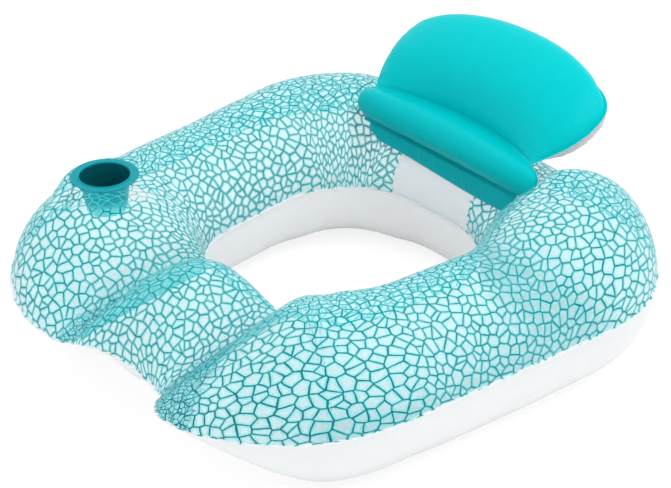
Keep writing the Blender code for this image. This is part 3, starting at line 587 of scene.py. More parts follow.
def cut_round(piece, middle, radius, depth, axis=UP):
    """A round hole through the film, cut along an axis and applied."""
    cutter_mesh = bpy.data.meshes.new("cutter")
    work = bmesh.new()
    bmesh.ops.create_cone(work, cap_ends=True, segments=64, radius1=radius, radius2=radius, depth=depth)
    work.to_mesh(cutter_mesh)
    work.free()
    cutter = bpy.data.objects.new("cutter", cutter_mesh)
    bpy.context.collection.objects.link(cutter)
    cutter.matrix_world = (Matrix.Translation(middle)
                           @ UP.rotation_difference(axis).to_matrix().to_4x4())
    cut = piece.modifiers.new("hole", "BOOLEAN")
    cut.operation, cut.solver, cut.object = "DIFFERENCE", "EXACT", cutter
    bpy.context.view_layer.update()
    finished = bpy.data.meshes.new_from_object(piece.evaluated_get(bpy.context.evaluated_depsgraph_get()))
    piece.modifiers.clear()
    piece.data = finished
    bpy.data.objects.remove(cutter)


# %% [markdown]
# ## Where the print stops
# The film is printed before it is cut, and the printer leaves a clear margin along each weld. The
# strip of wall that the flap pulls against, between the flap and the seat hole, is left clear too.
# Beside the creases the film lies in folds, and before the cup's sleeve it is stretched clear.

# %% How far inside the print each point lies
PRINT_MARGIN_OUTER = -0.006
PRINT_MARGIN_INNER = -0.004
FOLD_REACH, BAR_FOLD_REACH = 0.017, 0.005
BROW, BROW_REACH = 0.058, 0.016
CUP_CLEAR, CUP_FADE = 0.104, 0.012
CUP_SIDE, SECTOR_START, SECTOR_BLEND = (0.77, -0.64), 0.50, 0.15
CLEAR_LEFT, CLEAR_RIGHT, CLEAR_TOP, CLEAR_FROM = -0.100, 0.086, 0.213, 0.2


def print_reaches(rows):
    reaches = []
    for row, station in zip(rows, stations):
        arcs = arc_lengths(row)
        line = []
        for j, point in enumerate(row):
            reach = min(arcs[j] - LIP - PRINT_MARGIN_OUTER, arcs[-1] - LIP - arcs[j] - PRINT_MARGIN_INNER)
            if station.middle.y > CLEAR_FROM and j > len(row) // 2:
                wide = max(CLEAR_LEFT - point.x, point.x - CLEAR_RIGHT)
                reach = min(reach, max(wide, point.z - CLEAR_TOP))
            line.append(reach)
        reaches.append(line)
    return reaches


def folded(station):
    """How far the film lies in folds: over the brow of the sitter's left corner, less elsewhere."""
    if station in bar:
        return math.exp(-from_crease(station) / BAR_FOLD_REACH)
    if station.middle.x > 0.0:
        return math.exp(-max(from_crease(station) - BROW, 0.0) / BROW_REACH)
    return math.exp(-from_crease(station) / FOLD_REACH)


def before_cup(point):
    """1 where the print leaves the sleeve in view, on the side of the cup towards the leg bar."""
    away = Vector((point.x - cup_middle.x, point.y - cup_middle.y))
    sector = ease((away.normalized().dot(Vector(CUP_SIDE)) - SECTOR_START) / SECTOR_BLEND)
    return sector * ease(1.0 - (away.length - CUP_CLEAR) / CUP_FADE)


print("the clear strip is", round(CLEAR_RIGHT - CLEAR_LEFT, 3), "m wide")

# %% The ring's two films
CUTTER_DEPTH = 0.02
creased = [[folded(station)] * len(upper_rows[0]) for station in stations]
round_cup = [[before_cup(point) for point in row] for row in upper_rows]
ring_print = shell("ring_printed_film", upper_rows, FILM, True, upper_flat,
                   {"print_reach": print_reaches(upper_rows), "fold": creased, "taut": round_cup})
cup_hole = Vector((cup_middle.x, cup_middle.y - CHAIR_MIDDLE, cup_level))
valve_hole = Vector((valve_middle.x, valve_middle.y - CHAIR_MIDDLE, valve_level))
cut_round(ring_print, cup_hole, CUP_HOLE_RADIUS, CUTTER_DEPTH)
cut_round(ring_print, valve_hole, VALVE_HOLE_RADIUS, CUTTER_DEPTH)
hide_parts("ring_top_film")
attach(ring_print, "ring")
ring_white = shell("ring_white_film", lower_rows, -FILM, True)
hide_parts("ring_bottom_film")
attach(ring_white, "ring")
print(len(ring_print.data.polygons), "and", len(ring_white.data.polygons), "faces in the ring's films")


# %% [markdown]
# ## Backrest
# The backrest is one teal sheet and one white sheet, welded round the edge and once across. Below
# the cross weld is a lumbar roll, above it a broad pillow that leans far back. Its outline is a
# rounded oblong, and a Coons patch fills it with rows of points: the four edges are blended inwards,
# so the rows follow every edge.

# %% The backrest's outline
BACK_COLUMNS, ROLL_ROWS, PILLOW_ROWS = 120, 48, 56
END_CROWDING = 0.6


def crowded(share):
    """An even share from -1 to 1, moved so that neighbours lie closer towards both ends."""
    return blend(share, math.sin(math.pi / 2.0 * share), END_CROWDING)


def across_share(k):
    return crowded(2.0 * k / BACK_COLUMNS - 1.0)


def roll_half_width(share):
    return (blend(ROLL_WIDTH_LOW / 2.0, ROLL_WIDTH_HIGH / 2.0, share)
            + ROLL_END_BULGE * (1.0 - abs(2.0 * share - 1.0) ** 3))


def pillow_outline(angle):
    widest = PILLOW_HEIGHT * PILLOW_WIDEST_SHARE
    power = 2.0 / PILLOW_ROUNDNESS
    x = math.copysign(abs(math.cos(angle)) ** power, math.cos(angle)) * PILLOW_WIDTH / 2.0
    return Vector((x, widest + (PILLOW_HEIGHT - widest) * math.sin(angle) ** power))


def pillow_edges():
    widest = PILLOW_HEIGHT * PILLOW_WIDEST_SHARE
    low, high = ROLL_WIDTH_HIGH / 2.0, PILLOW_WIDTH / 2.0
    shoulder = math.radians(SHOULDER)
    shares = [k / PLAN_STEPS for k in range(PLAN_STEPS + 1)]
    side = [Vector((blend(low, high, math.sin(math.pi / 2.0 * k)), widest * k)) for k in shares[:-1]]
    side += [pillow_outline(shoulder * k) for k in shares]
    top = [pillow_outline(blend(math.pi - shoulder, shoulder, k)) for k in shares]
    return side, top


def turned_by(run, degrees):
    angle = math.radians(degrees)
    return Vector((run.x * math.cos(angle) - run.y * math.sin(angle),
                   run.x * math.sin(angle) + run.y * math.cos(angle)))


# %% Rows of points over the pillow's flat shape
def pillow_rows():
    side, top = pillow_edges()
    side_lengths, top_lengths = running_lengths(side), running_lengths(top)
    corner = side[-1]
    shares = [(1.0 + crowded(2.0 * k / PILLOW_ROWS - 1.0)) / 2.0 for k in range(PILLOW_ROWS + 1)]
    columns = [(1.0 + across_share(k)) / 2.0 for k in range(BACK_COLUMNS + 1)]
    tops = [along(top, top_lengths, top_lengths[-1] * u) for u in columns]
    rows = []
    for up in shares:
        edge, run = along(side, side_lengths, side_lengths[-1] * up)
        out = Vector((run.y, -run.x)) * LIP
        tip = out
        if up == shares[-1]:
            out = turned_by(out, -LIP_SPREAD)
        row = [Vector((-edge.x - out.x, edge.y + out.y))]
        for u, (high, _) in zip(columns, tops):
            low = Vector((blend(-side[0].x, side[0].x, u), 0.0))
            ends = Vector((blend(-edge.x, edge.x, u), edge.y))
            corners = Vector((blend(-1.0, 1.0, u) * blend(side[0].x, corner.x, up), corner.y * up))
            row.append(low.lerp(high, up) + ends - corners)
        rows.append(row + [edge + out])
    last = []
    for k, (point, run) in enumerate(tops):
        out = Vector((-run.y, run.x)) * LIP
        if k in (0, BACK_COLUMNS):
            out = turned_by(out, math.copysign(LIP_SPREAD, point.x))
        last.append(point + out)
    rows.append([Vector((-corner.x - tip.x, corner.y + tip.y))] + last + [corner + tip])
    return rows, shares + [1.0]


flat_pillow, pillow_shares = pillow_rows()
print("pillow outline", round(2 * max(p.x for row in flat_pillow for p in row), 3), "m wide with its weld")

# %% [markdown]
# ## Blowing the backrest up
# Each film stands off its flat shape by a crown that is full in the middle and nothing at the welds.
# On the real one the crown isn't clean: folds run out from every weld where the sheet gathers, and
# long soft creases lie along the roll, where it bends round the sitter's back.

# %% Crowns, gathers and creases
REAR_ROUNDNESS = 4.5
LOW_CREASE = 0.011
LONG_CREASES, SHARP_CREASE, SHORT_GATHERS = 0.0010, 0.0016, 0.0006
# How light the teal is painted, as painted light and shade: at most this much at the top of the roll, and
# this much at the foot of the pillow, growing to full at its top.
ROLL_PAINTED_LIGHT, PILLOW_PAINTED_LIGHT = 0.7, 0.72

# Depth, spacing and reach of the folds that run out from the pillow's welds. They fade in over the
# first millimetres.
SIDE_FOLDS = (0.0013, 0.021, 0.030)
TOP_FOLDS = (0.0009, 0.024, 0.022)
SEAM_FOLDS = (0.0012, 0.020, 0.020)
PILLOW_FADE, ROLL_FADE = 0.006, 0.005


def crown_shape(share, slack=1.0, roundness=CROWN_ROUNDNESS):
    return max(1.0 - abs(share) ** roundness, 0.0) ** (slack / 2.0)


def folds_from(weld_gap, along_weld, folds, seed):
    depth, spacing, reach = folds
    wave = gathers(along_weld, spacing, seed) * math.exp(-weld_gap / reach)
    return depth * (wave * min(1.0, weld_gap / PILLOW_FADE))


def edge_gathers(x, up_share, across, seed):
    """Folds that run out from the welds at the edge of the pillow, about 2 mm deep at most."""
    side_gap = (1.0 - abs(across)) * PILLOW_WIDTH / 2.0
    top_gap = (1.0 - up_share) * PILLOW_HEIGHT
    seam_gap = up_share * PILLOW_HEIGHT
    return (folds_from(side_gap, seam_gap, SIDE_FOLDS, seed)
            + folds_from(top_gap, x, TOP_FOLDS, seed + 3.0)
            + folds_from(seam_gap, x, SEAM_FOLDS, seed + 6.0))


def roll_creases(x, share, across, seed):
    """Shallow creases along the roll, a sharper one low down, and short gathers at its seam."""
    height = (1.0 + share) / 2.0 * ROLL_HEIGHT
    low_half = ease((0.3 - share) / 0.9)
    long_ones = noise.noise(Vector((x * 5.0, height * 110.0, seed))) * blend(0.15, 1.0, low_half)
    sway = 0.0025 * noise.noise(Vector((x * 9.0, seed, 3.0)))
    sharp = math.exp(-abs(height - LOW_CREASE - sway) / 0.0018) * ease((0.95 - abs(across)) / 0.3)
    short_ones = gathers(x, 0.018, seed + 2.0) * math.exp(-(ROLL_HEIGHT - height) / 0.010)
    fade = crown_shape(across) * min(1.0, height / ROLL_FADE) * min(1.0, (ROLL_HEIGHT - height) / ROLL_FADE)
    return (LONG_CREASES * long_ones + SHARP_CREASE * sharp + SHORT_GATHERS * short_ones) * fade


# %% One film of the backrest
def backrest_rows(front):
    side = -1.0 if front else 1.0
    fold, lean = math.radians(PILLOW_LEAN - ROLL_LEAN), math.radians(ROLL_LEAN)
    bow_run = Vector((0.0, math.cos(lean), math.sin(lean)))
    seam = LIP + ROLL_HEIGHT
    hinge = Matrix.Translation((0.0, HINGE_Y, HINGE_Z)) @ Matrix.Rotation(-lean, 4, "X")
    columns = [-1.0] + [across_share(k) for k in range(BACK_COLUMNS + 1)] + [1.0]

    def spot(x, height, puff, across, up, out, foot):
        bow = BACK_BOW * (1.0 - across * across) * min((foot + height) / seam, 1.0)
        place = Vector((0.0, 0.0, foot)) + up * height + out * (side * (GAP / 2.0 + puff)) + bow_run * bow
        return hinge @ Vector((x, place.y, place.z))

    rows, painted_light = [], []
    up, out = Vector((0.0, 0.0, 1.0)), Vector((0.0, 1.0, 0.0))
    steps = [None] + [crowded(2.0 * k / ROLL_ROWS - 1.0) for k in range(ROLL_ROWS + 1)]
    for share in steps:
        height = -LIP_TUCK if share is None else LIP + ROLL_HEIGHT * (1.0 + share) / 2.0
        half = roll_half_width(max(height - LIP, 0.0) / ROLL_HEIGHT)
        row = []
        for k, across in enumerate(columns):
            reach = half * across + (math.copysign(LIP, across) if k in (0, len(columns) - 1) else 0.0)
            puff = 0.0
            if share is not None:
                slack = 1.0 if front or share < 0.0 else FOLD_SLACK
                skew = share
                if front:
                    skew -= ROLL_PEAK
                    skew /= 1.0 + ROLL_PEAK if skew < 0.0 else 1.0 - ROLL_PEAK
                puff = (ROLL_FRONT if front else ROLL_REAR) * crown_shape(across, 1.0, ROLL_BLUNTNESS)
                puff *= crown_shape(skew, slack)
                puff += roll_creases(reach, share, across, 2.0 if front else 12.0)
            row.append(spot(reach, height, puff, across, up, out, 0.0))
        rows.append(row)
        # Painted shade: the roll's teal is painted darker towards its bottom.
        painted_light.append([ROLL_PAINTED_LIGHT * ease(0.1 + height / seam)] * len(row))
    up = Vector((0.0, math.sin(fold), math.cos(fold)))
    out = Vector((0.0, math.cos(fold), -math.sin(fold)))
    for number, (line, share) in enumerate(zip(flat_pillow, pillow_shares)):
        row = []
        for point, across in zip(line, columns):
            puff = 0.0
            if number < len(flat_pillow) - 1:
                slack = blend(PILLOW_SLACK if front else FOLD_SLACK, 1.0, ease(share / 0.5))
                outer = 0.0 if front else ease(abs(across) * 2.0 - 0.8)
                roundness = blend(CROWN_ROUNDNESS, REAR_ROUNDNESS, outer)
                puff = (PILLOW_FRONT if front else PILLOW_REAR) * crown_shape(across, 1.0, roundness)
                puff *= crown_shape(2.0 * share - 1.0, slack)
                puff += edge_gathers(point.x, share, across, 20.0 if front else 40.0)
            row.append(spot(point.x, point.y + BACK_SEAM, puff, across, up, out, seam))
        rows.append(row)
        # Painted light: the pillow's teal is painted lighter towards its top.
        painted_light.append([blend(PILLOW_PAINTED_LIGHT, 1.0, ease(share))] * len(row))
    return rows, {"painted_light": painted_light}


# %% The backrest's two films
SEAT_BLEND = 0.024
VALVE_SIDE = Vector((0.0, 0.42, -0.91))


def flange_seat(name, roughly):
    """The point under the middle of a valve's weld flange and the way the valve points."""
    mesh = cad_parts[name].data
    tops = [face for face in mesh.polygons if face.normal.dot(roughly) > 0.9]
    normal = sum((face.normal * face.area for face in tops), Vector()).normalized()
    corners = [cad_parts[name].matrix_world @ v.co for v in mesh.vertices]
    middle = sum(corners, Vector()) / len(corners)
    under = min((corner - middle).dot(normal) for corner in corners) - GAP
    return middle + normal * under + Vector((0.0, CHAIR_MIDDLE, 0.0)), normal


front_rows, front_painted_light = backrest_rows(True)
back_front = shell("backrest_teal_film", front_rows, -FILM, False, None, front_painted_light)
rear_rows = backrest_rows(False)[0]
valve_seat, valve_normal = flange_seat("backrest_valve_flange", VALVE_SIDE)
for row in rear_rows:
    for point in row:
        off = point - valve_seat
        level = off.dot(valve_normal)
        away = (off - valve_normal * level).length - valve_radius - SEAT_MARGIN
        if away < SEAT_BLEND:
            point += valve_normal * ((1.0 - ease(away / SEAT_BLEND)) * (-FILM - level))
back_rear = shell("backrest_white_film", rear_rows, FILM, False)
valve_hole = valve_seat - Vector((0.0, CHAIR_MIDDLE, 0.0))
cut_round(back_rear, valve_hole, VALVE_HOLE_RADIUS, CUTTER_DEPTH, valve_normal)
for piece, node, finish in ((back_front, "backrest_front_film", "teal_film"),
                            (back_rear, "backrest_back_film", "white_film")):
    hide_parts(node)
    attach(piece, "backrest")
print(len(back_front.data.polygons), "faces in the backrest's teal film")

# %% [markdown]
# ## The flap
# The flap is the strip of teal film that ties the backrest to the ring. It hangs from the roll's
# lower weld down in front of the ring's wall, and the pull of the roll draws small upright folds into
# it. Looking back from the seat to the wall tells how far back it may lie. It isn't drawn on to the
# wall: its foot stands 3 to 7 mm off it, and more at the ends.

# %% The backrest's flap
FLAP_ROWS, FLAP_COLUMNS = 26, 200
FLAP_RIGHT, FLAP_LEFT = -0.182, 0.206
FOOT_RIGHT, FOOT_LEFT, FOOT_CORNER = 0.221, 0.209, 0.032
FLAP_STAND_OFF, FLAP_TOP_Y, FLAP_TOP_GAP = 0.0016, 0.0018, 0.0002
FLAP_BROAD_WAVE, FLAP_FINE_WAVE, FLAP_PULL, FLAP_HOLLOW = 0.0010, 0.0006, 0.0006, 0.0008
bpy.context.view_layer.update()
wall = BVHTree.FromObject(ring_print, bpy.context.evaluated_depsgraph_get())


def before_the_wall(x, z):
    """How far back a film may lie at x and z without going into the ring's printed film."""
    hit = wall.ray_cast(Vector((x, 0.0, z)), Vector((0.0, 1.0, 0.0)))[0]
    return (hit.y + CHAIR_MIDDLE if hit else HINGE_Y) - FLAP_STAND_OFF


def flap_foot(x):
    """The flap's lower edge runs down a little towards the sitter's left, where it rounds up most."""
    slope = blend(FOOT_RIGHT, FOOT_LEFT, ease((x + 0.15) / 0.29))
    left_end = ease((x - FLAP_LEFT + 0.046) / 0.046)
    right_end = ease((FLAP_RIGHT + 0.027 - x) / 0.027)
    return slope + FOOT_CORNER * left_end + FOOT_CORNER / 3.0 * right_end


def flap_rows():
    rows = []
    spread = [blend(FLAP_RIGHT, FLAP_LEFT, k / FLAP_COLUMNS) for k in range(FLAP_COLUMNS + 1)]
    for i in range(FLAP_ROWS + 1):
        share = i / FLAP_ROWS
        row = []
        for x in spread:
            z = blend(flap_foot(x), HINGE_Z - FLAP_TOP_GAP, share)
            held = math.sin(math.pi * share)
            wave = noise.noise(Vector((x * 55.0, z * 170.0, 61.0))) * FLAP_BROAD_WAVE * held
            wave += noise.noise(Vector((x * 170.0, z * 120.0, 67.0))) * FLAP_FINE_WAVE * held
            wave += gathers(x, 0.023, 61.0) * FLAP_PULL * held
            y = blend(FLAP_FOOT_Y, HINGE_Y - FLAP_TOP_Y, share) - FLAP_HOLLOW * held
            row.append(Vector((x, min(y, before_the_wall(x, z)) + wave, z)))
        rows.append(row)
    return rows


flap = shell("backrest_flap_film", flap_rows(), FLAP_THICK, False)
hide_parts("backrest_flap")
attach(flap, "ring")
print("flap is", round(FLAP_LEFT - FLAP_RIGHT, 3), "m wide")

# %% [markdown]
# ## Materials
# Every piece is plasticised PVC: film calendered between polished rollers, so it is smooth and
# glossy, with a refractive index of 1.53. What differs is what is in it. The upper film is clear and
# carries a gravure print, the lower one is loaded with white pigment, and the backrest with teal. The
# valves are soft vinyl, moulded clear. One function adds a node, sets its values and links it.

# %% Add one node
def add_node(tree, kind, values=(), **settings):
    """Adds a node; values maps an input's name or number to a value or to another node's output."""
    node = tree.nodes.new(kind)
    for name, value in settings.items():
        setattr(node, name, value)
    for name, value in dict(values).items():
        if isinstance(value, bpy.types.NodeSocket):
            tree.links.new(value, node.inputs[name])
        else:
            node.inputs[name].default_value = value
    return node


def new_material(name, roughness, values=()):
    """A Principled material for PVC; returns the material, its node tree and its shader."""
    made = bpy.data.materials.new(name)
    made.use_nodes = True
    tree = made.node_tree
    shader = tree.nodes["Principled BSDF"]
    shader.inputs["IOR"].default_value = PVC_IOR
    shader.inputs["Roughness"].default_value = roughness
    for name, value in dict(values).items():
        shader.inputs[name].default_value = value
    return made, tree, shader


PVC_IOR = 1.53
print("PVC refracts with", PVC_IOR)


# %% [markdown]
# ### Calendered film, wavy on a small scale
# No blown-up film is a perfect mirror: it carries a faint waviness a few centimetres long and, finer,
# the marks of the rollers. Both go into the normal as bump, in real millimetres.

# %% The film's waviness
WAVE_SPACING = 0.030
ROLLER_SPACING = 0.0025


def film_bump(tree, shader, strength):
    place = add_node(tree, "ShaderNodeTexCoord")
    waves = add_node(tree, "ShaderNodeTexNoise", {"Vector": place.outputs["Object"],
                                                 "Scale": 1.0 / WAVE_SPACING, "Detail": 2.0})
    marks = add_node(tree, "ShaderNodeTexNoise", {"Vector": place.outputs["Object"],
                                                 "Scale": 1.0 / ROLLER_SPACING, "Detail": 1.0})
    wavy = add_node(tree, "ShaderNodeBump", {"Height": waves.outputs["Fac"], "Strength": strength,
                                            "Distance": 0.0012})
    fine = add_node(tree, "ShaderNodeBump", {"Height": marks.outputs["Fac"], "Strength": strength,
                                            "Distance": 0.00002, "Normal": wavy.outputs["Normal"]})
    tree.links.new(fine.outputs["Normal"], shader.inputs["Normal"])
    return waves


# %% [markdown]
# ### Clear film with a printed net
# The print is a net of irregular cells, as dried mud or a leaf has. A Voronoi texture gives such
# cells: its distance to the nearest edge, cut off at half a line's width, draws the lines. It is laid
# out on `flat_sheet`, so the net follows the film as the real print does. Lines are a strong teal and
# nearly opaque, the cells between them clear film with a breath of aqua.

# %% The net of lines
CELL_SIZE, LINE_WIDTH = 0.0168, 0.0019
FOLDED_CELL, FOLDED_LINE = 0.0085, 0.0014
CELL_CHAOS = 0.86
RIM_ALPHA, CENTRE_ALPHA, TAUT_ALPHA, FOLD_ALPHA = 0.44, 0.20, 0.01, 0.50
LINE_ALPHA = 0.84
LINE_THIN, LINE_THICK, LINE_SOFTNESS = 0.30, 0.56, 0.26
FOLDS_SHOW, HEART_FADE = (0.48, 0.78), (0.07, 0.34)
GHOST_ALPHA, BARE_ALPHA = 0.10, 0.50
SHADE_SHARE = 0.15
SWAY_SPACING, SWAY_AMOUNT, SWELLING_SPACING = 0.05, 0.012, 0.012
RAGGED_SPACING, RAGGED_DEPTH, PRINT_END = 0.011, 0.012, (0.0095, 0.0105)


def net(tree, place, cell, line_width, swelling):
    """Lines between irregular cells: returns the lines, the distance to them and a value per cell."""
    layout = {"Vector": place, "Scale": 1.0 / cell, "Randomness": CELL_CHAOS}
    cells = add_node(tree, "ShaderNodeTexVoronoi", layout, feature="DISTANCE_TO_EDGE",
                     voronoi_dimensions="2D")
    tints = add_node(tree, "ShaderNodeTexVoronoi", layout, feature="F1", voronoi_dimensions="2D")
    start = add_node(tree, "ShaderNodeMapRange", {"Value": swelling, "From Min": 0.3, "From Max": 0.7,
                                                 "To Min": LINE_THIN * line_width / cell,
                                                 "To Max": LINE_THICK * line_width / cell})
    end = add_node(tree, "ShaderNodeMath", {0: start.outputs["Result"],
                                            1: LINE_SOFTNESS * line_width / cell}, operation="ADD")
    lines = add_node(tree, "ShaderNodeMapRange", {"Value": cells.outputs["Distance"],
                                                 "From Min": start.outputs["Result"],
                                                 "From Max": end.outputs[0], "To Min": 1.0, "To Max": 0.0},
                     interpolation_type="SMOOTHSTEP")
    return lines.outputs["Result"], cells.outputs["Distance"], tints.outputs["Color"]


# %% [markdown]
# The net is swayed a little, as a drawing by hand would be, and the lines swell and thin. Where the
# film lies in folds a finer net shows through, and where the print ends only a ghost of it is left.

# %% The printed film
printed, tree, shader = new_material("clear PVC film, gravure printed", 0.20, {"Specular IOR Level": 0.15})
flat = add_node(tree, "ShaderNodeUVMap", uv_map="flat_sheet")
sway = add_node(tree, "ShaderNodeTexNoise", {"Vector": flat.outputs["UV"], "Scale": 1.0 / SWAY_SPACING,
                                             "Detail": 1.0})
swayed = add_node(tree, "ShaderNodeVectorMath", {0: sway.outputs["Color"], 1: (0.5, 0.5, 0.5)},
                  operation="SUBTRACT")
pushed = add_node(tree, "ShaderNodeVectorMath", {0: swayed.outputs[0], "Scale": SWAY_AMOUNT},
                  operation="SCALE")
laid = add_node(tree, "ShaderNodeVectorMath", {0: flat.outputs["UV"], 1: pushed.outputs[0]},
                operation="ADD")
swelling = add_node(tree, "ShaderNodeTexNoise", {"Vector": flat.outputs["UV"],
                                                 "Scale": 1.0 / SWELLING_SPACING})
line, to_line, cell_value = net(tree, laid.outputs[0], CELL_SIZE, LINE_WIDTH, swelling.outputs["Fac"])

# Beside a crease the film lies in folds, and the net shows through itself in small pieces.
fold = add_node(tree, "ShaderNodeAttribute", attribute_name="fold")
folded_line, _, _ = net(tree, laid.outputs[0], FOLDED_CELL, FOLDED_LINE, swelling.outputs["Fac"])
loose = add_node(tree, "ShaderNodeMath", {0: swelling.outputs["Fac"], 1: 0.5, 2: fold.outputs["Fac"]},
                 operation="MULTIPLY_ADD")
gathered = add_node(tree, "ShaderNodeMapRange", {"Value": loose.outputs[0], "From Min": FOLDS_SHOW[0],
                                                "From Max": FOLDS_SHOW[1]},
                    interpolation_type="SMOOTHSTEP")
gathered_line = add_node(tree, "ShaderNodeMath", {0: folded_line, 1: gathered.outputs["Result"]},
                         operation="MULTIPLY")
all_lines = add_node(tree, "ShaderNodeMath", {0: line, 1: gathered_line.outputs[0]}, operation="MAXIMUM")

# The print ends raggedly at the clear strip, where only a ghost of the net is left.
reach = add_node(tree, "ShaderNodeAttribute", attribute_name="print_reach")
ragged = add_node(tree, "ShaderNodeTexVoronoi", {"Vector": laid.outputs[0], "Scale": 1.0 / RAGGED_SPACING,
                                                "Randomness": 1.0},
                  feature="F1", voronoi_dimensions="2D")
torn = add_node(tree, "ShaderNodeMath", {0: ragged.outputs["Color"], 1: RAGGED_DEPTH,
                                         2: reach.outputs["Fac"]}, operation="MULTIPLY_ADD")
inside = add_node(tree, "ShaderNodeMapRange", {"Value": torn.outputs[0], "From Min": PRINT_END[0],
                                              "From Max": PRINT_END[1], "To Min": GHOST_ALPHA})
inked = add_node(tree, "ShaderNodeMath", {0: all_lines.outputs[0], 1: inside.outputs["Result"]},
                 operation="MULTIPLY")

# Aqua near the lines, nearly white in the middle of a cell, with no two cells quite alike.
heart = add_node(tree, "ShaderNodeMapRange", {"Value": to_line, "From Min": HEART_FADE[0],
                                             "From Max": HEART_FADE[1]},
                 interpolation_type="SMOOTHSTEP")
rim = add_node(tree, "ShaderNodeMix", {"Factor": cell_value, "A": linear("#3FE4EE"),
                                      "B": linear("#62F0F4")}, data_type="RGBA")
tint = add_node(tree, "ShaderNodeMix", {"Factor": heart.outputs["Result"], "A": rim.outputs["Result"],
                                       "B": linear("#A8F6FB")}, data_type="RGBA")
deeper = add_node(tree, "ShaderNodeMix", {"Factor": gathered.outputs["Result"], "A": tint.outputs["Result"],
                                         "B": linear("#6AE4EC")}, data_type="RGBA")
bare = add_node(tree, "ShaderNodeMix", {"Factor": inside.outputs["Result"], "A": linear("#F4F4F8"),
                                       "B": deeper.outputs["Result"]}, data_type="RGBA")
taut = add_node(tree, "ShaderNodeAttribute", attribute_name="taut")
plain_ink = add_node(tree, "ShaderNodeMix", {"Factor": taut.outputs["Fac"], "A": linear("#00747A"),
                                            "B": linear("#3CC0C8")}, data_type="RGBA")
ink = add_node(tree, "ShaderNodeMix", {"Factor": gathered.outputs["Result"],
                                      "A": plain_ink.outputs["Result"],
                                      "B": linear("#007A86")}, data_type="RGBA")
colour = add_node(tree, "ShaderNodeMix", {"Factor": inked.outputs[0], "A": bare.outputs["Result"],
                                         "B": ink.outputs["Result"]}, data_type="RGBA")
veil = add_node(tree, "ShaderNodeMapRange", {"Value": heart.outputs["Result"], "To Min": RIM_ALPHA,
                                            "To Max": CENTRE_ALPHA})
thinner = add_node(tree, "ShaderNodeMix", {"Factor": taut.outputs["Fac"], "A": veil.outputs["Result"],
                                          "B": TAUT_ALPHA}, data_type="FLOAT")
clear = add_node(tree, "ShaderNodeMix", {"Factor": gathered.outputs["Result"],
                                        "A": thinner.outputs["Result"],
                                        "B": FOLD_ALPHA}, data_type="FLOAT")
cloudy = add_node(tree, "ShaderNodeMix", {"Factor": inside.outputs["Result"], "A": BARE_ALPHA,
                                         "B": clear.outputs["Result"]}, data_type="FLOAT")
solid = add_node(tree, "ShaderNodeMix", {"Factor": inked.outputs[0], "A": cloudy.outputs["Result"],
                                        "B": LINE_ALPHA}, data_type="FLOAT")
tree.links.new(colour.outputs["Result"], shader.inputs["Base Color"])

# So thin a film hardly shades what lies behind it, whatever its colour.
ray = add_node(tree, "ShaderNodeLightPath")
passing = add_node(tree, "ShaderNodeMath", {0: ray.outputs["Is Shadow Ray"],
                                            1: ray.outputs["Is Diffuse Ray"]}, operation="MAXIMUM")
weaker = add_node(tree, "ShaderNodeMapRange", {"Value": passing.outputs[0], "To Min": 1.0,
                                              "To Max": SHADE_SHARE})
stopped = add_node(tree, "ShaderNodeMath", {0: solid.outputs["Result"], 1: weaker.outputs["Result"]},
                   operation="MULTIPLY")
tree.links.new(stopped.outputs[0], shader.inputs["Alpha"])
film_bump(tree, shader, 0.25)
ring_print.data.materials.clear()
ring_print.data.materials.append(printed)
print("cells", CELL_SIZE * 1000, "mm across, lines", LINE_WIDTH * 1000, "mm wide")

# %% [markdown]
# ### White film
# Titanium white in soft PVC: a cool white that lets a little light through, which evens out its
# shadows, under the same gloss as the clear film.

# %% The white film
white, tree, shader = new_material("white PVC film, calendered", 0.30,
                                   {"Specular IOR Level": 0.25, "Subsurface Weight": 0.7,
                                    "Subsurface Scale": 0.004})
shader.inputs["Subsurface Radius"].default_value = (1.0, 1.0, 1.0)
waves = film_bump(tree, shader, 0.22)
shade = add_node(tree, "ShaderNodeMix", {"Factor": waves.outputs["Fac"], "A": linear("#F4F4F6"),
                                        "B": linear("#FBFBFC")}, data_type="RGBA")
tree.links.new(shade.outputs["Result"], shader.inputs["Base Color"])
for piece in (ring_white, back_rear):
    piece.data.materials.clear()
    piece.data.materials.append(white)
print("white film on", ring_white.name, "and", back_rear.name)

# %% [markdown]
# ### Teal film
# Opaque coloured film. The pigment is strong, so the colour stays saturated in the shade, and the
# gloss shows as broad soft highlights along the roll. Its colour carries painted light and shade: it
# is painted lighter towards the top of the pillow and darker towards the bottom of the roll, and the
# flap, which hangs in the roll's shade, is painted darkest, as painted shade.

# %% The teal film
WAVE_TINT = 0.12


def teal_film(name, roughness, painted_shade_colour, painted_light_colour):
    made, tree, shader = new_material(name, roughness, {"Specular IOR Level": 0.04,
                                                        "Subsurface Weight": 0.15,
                                                        "Subsurface Scale": 0.006})
    shader.inputs["Subsurface Radius"].default_value = (0.1, 1.0, 1.0)
    waves = film_bump(tree, shader, 0.30)
    painted_light = add_node(tree, "ShaderNodeAttribute", attribute_name="painted_light")
    # Painted light and shade: the colour runs from the darker to the lighter colour with the layer of
    # painted light, plus a little random tone from the film's waves.
    pale = add_node(tree, "ShaderNodeMath", {0: waves.outputs["Fac"], 1: WAVE_TINT,
                                             2: painted_light.outputs["Fac"]}, operation="MULTIPLY_ADD")
    shade = add_node(tree, "ShaderNodeMix", {"Factor": pale.outputs[0], "A": linear(painted_shade_colour),
                                            "B": linear(painted_light_colour)}, data_type="RGBA")
    tree.links.new(shade.outputs["Result"], shader.inputs["Base Color"])
    return made


# The flap has no layer of painted light, so it keeps the darker colour: painted shade, where it hangs in
# the roll's shade.
for piece, finish in ((back_front, teal_film("teal PVC film, calendered, with painted light and shade", 0.28, "#009EA4", "#00D0D5")),
                      (flap, teal_film("teal PVC film, slack and creased, with painted shade", 0.36, "#009AA2", "#00C8D0"))):
    piece.data.materials.clear()
    piece.data.materials.append(finish)
print("teal film on", back_front.name, "and", flap.name)
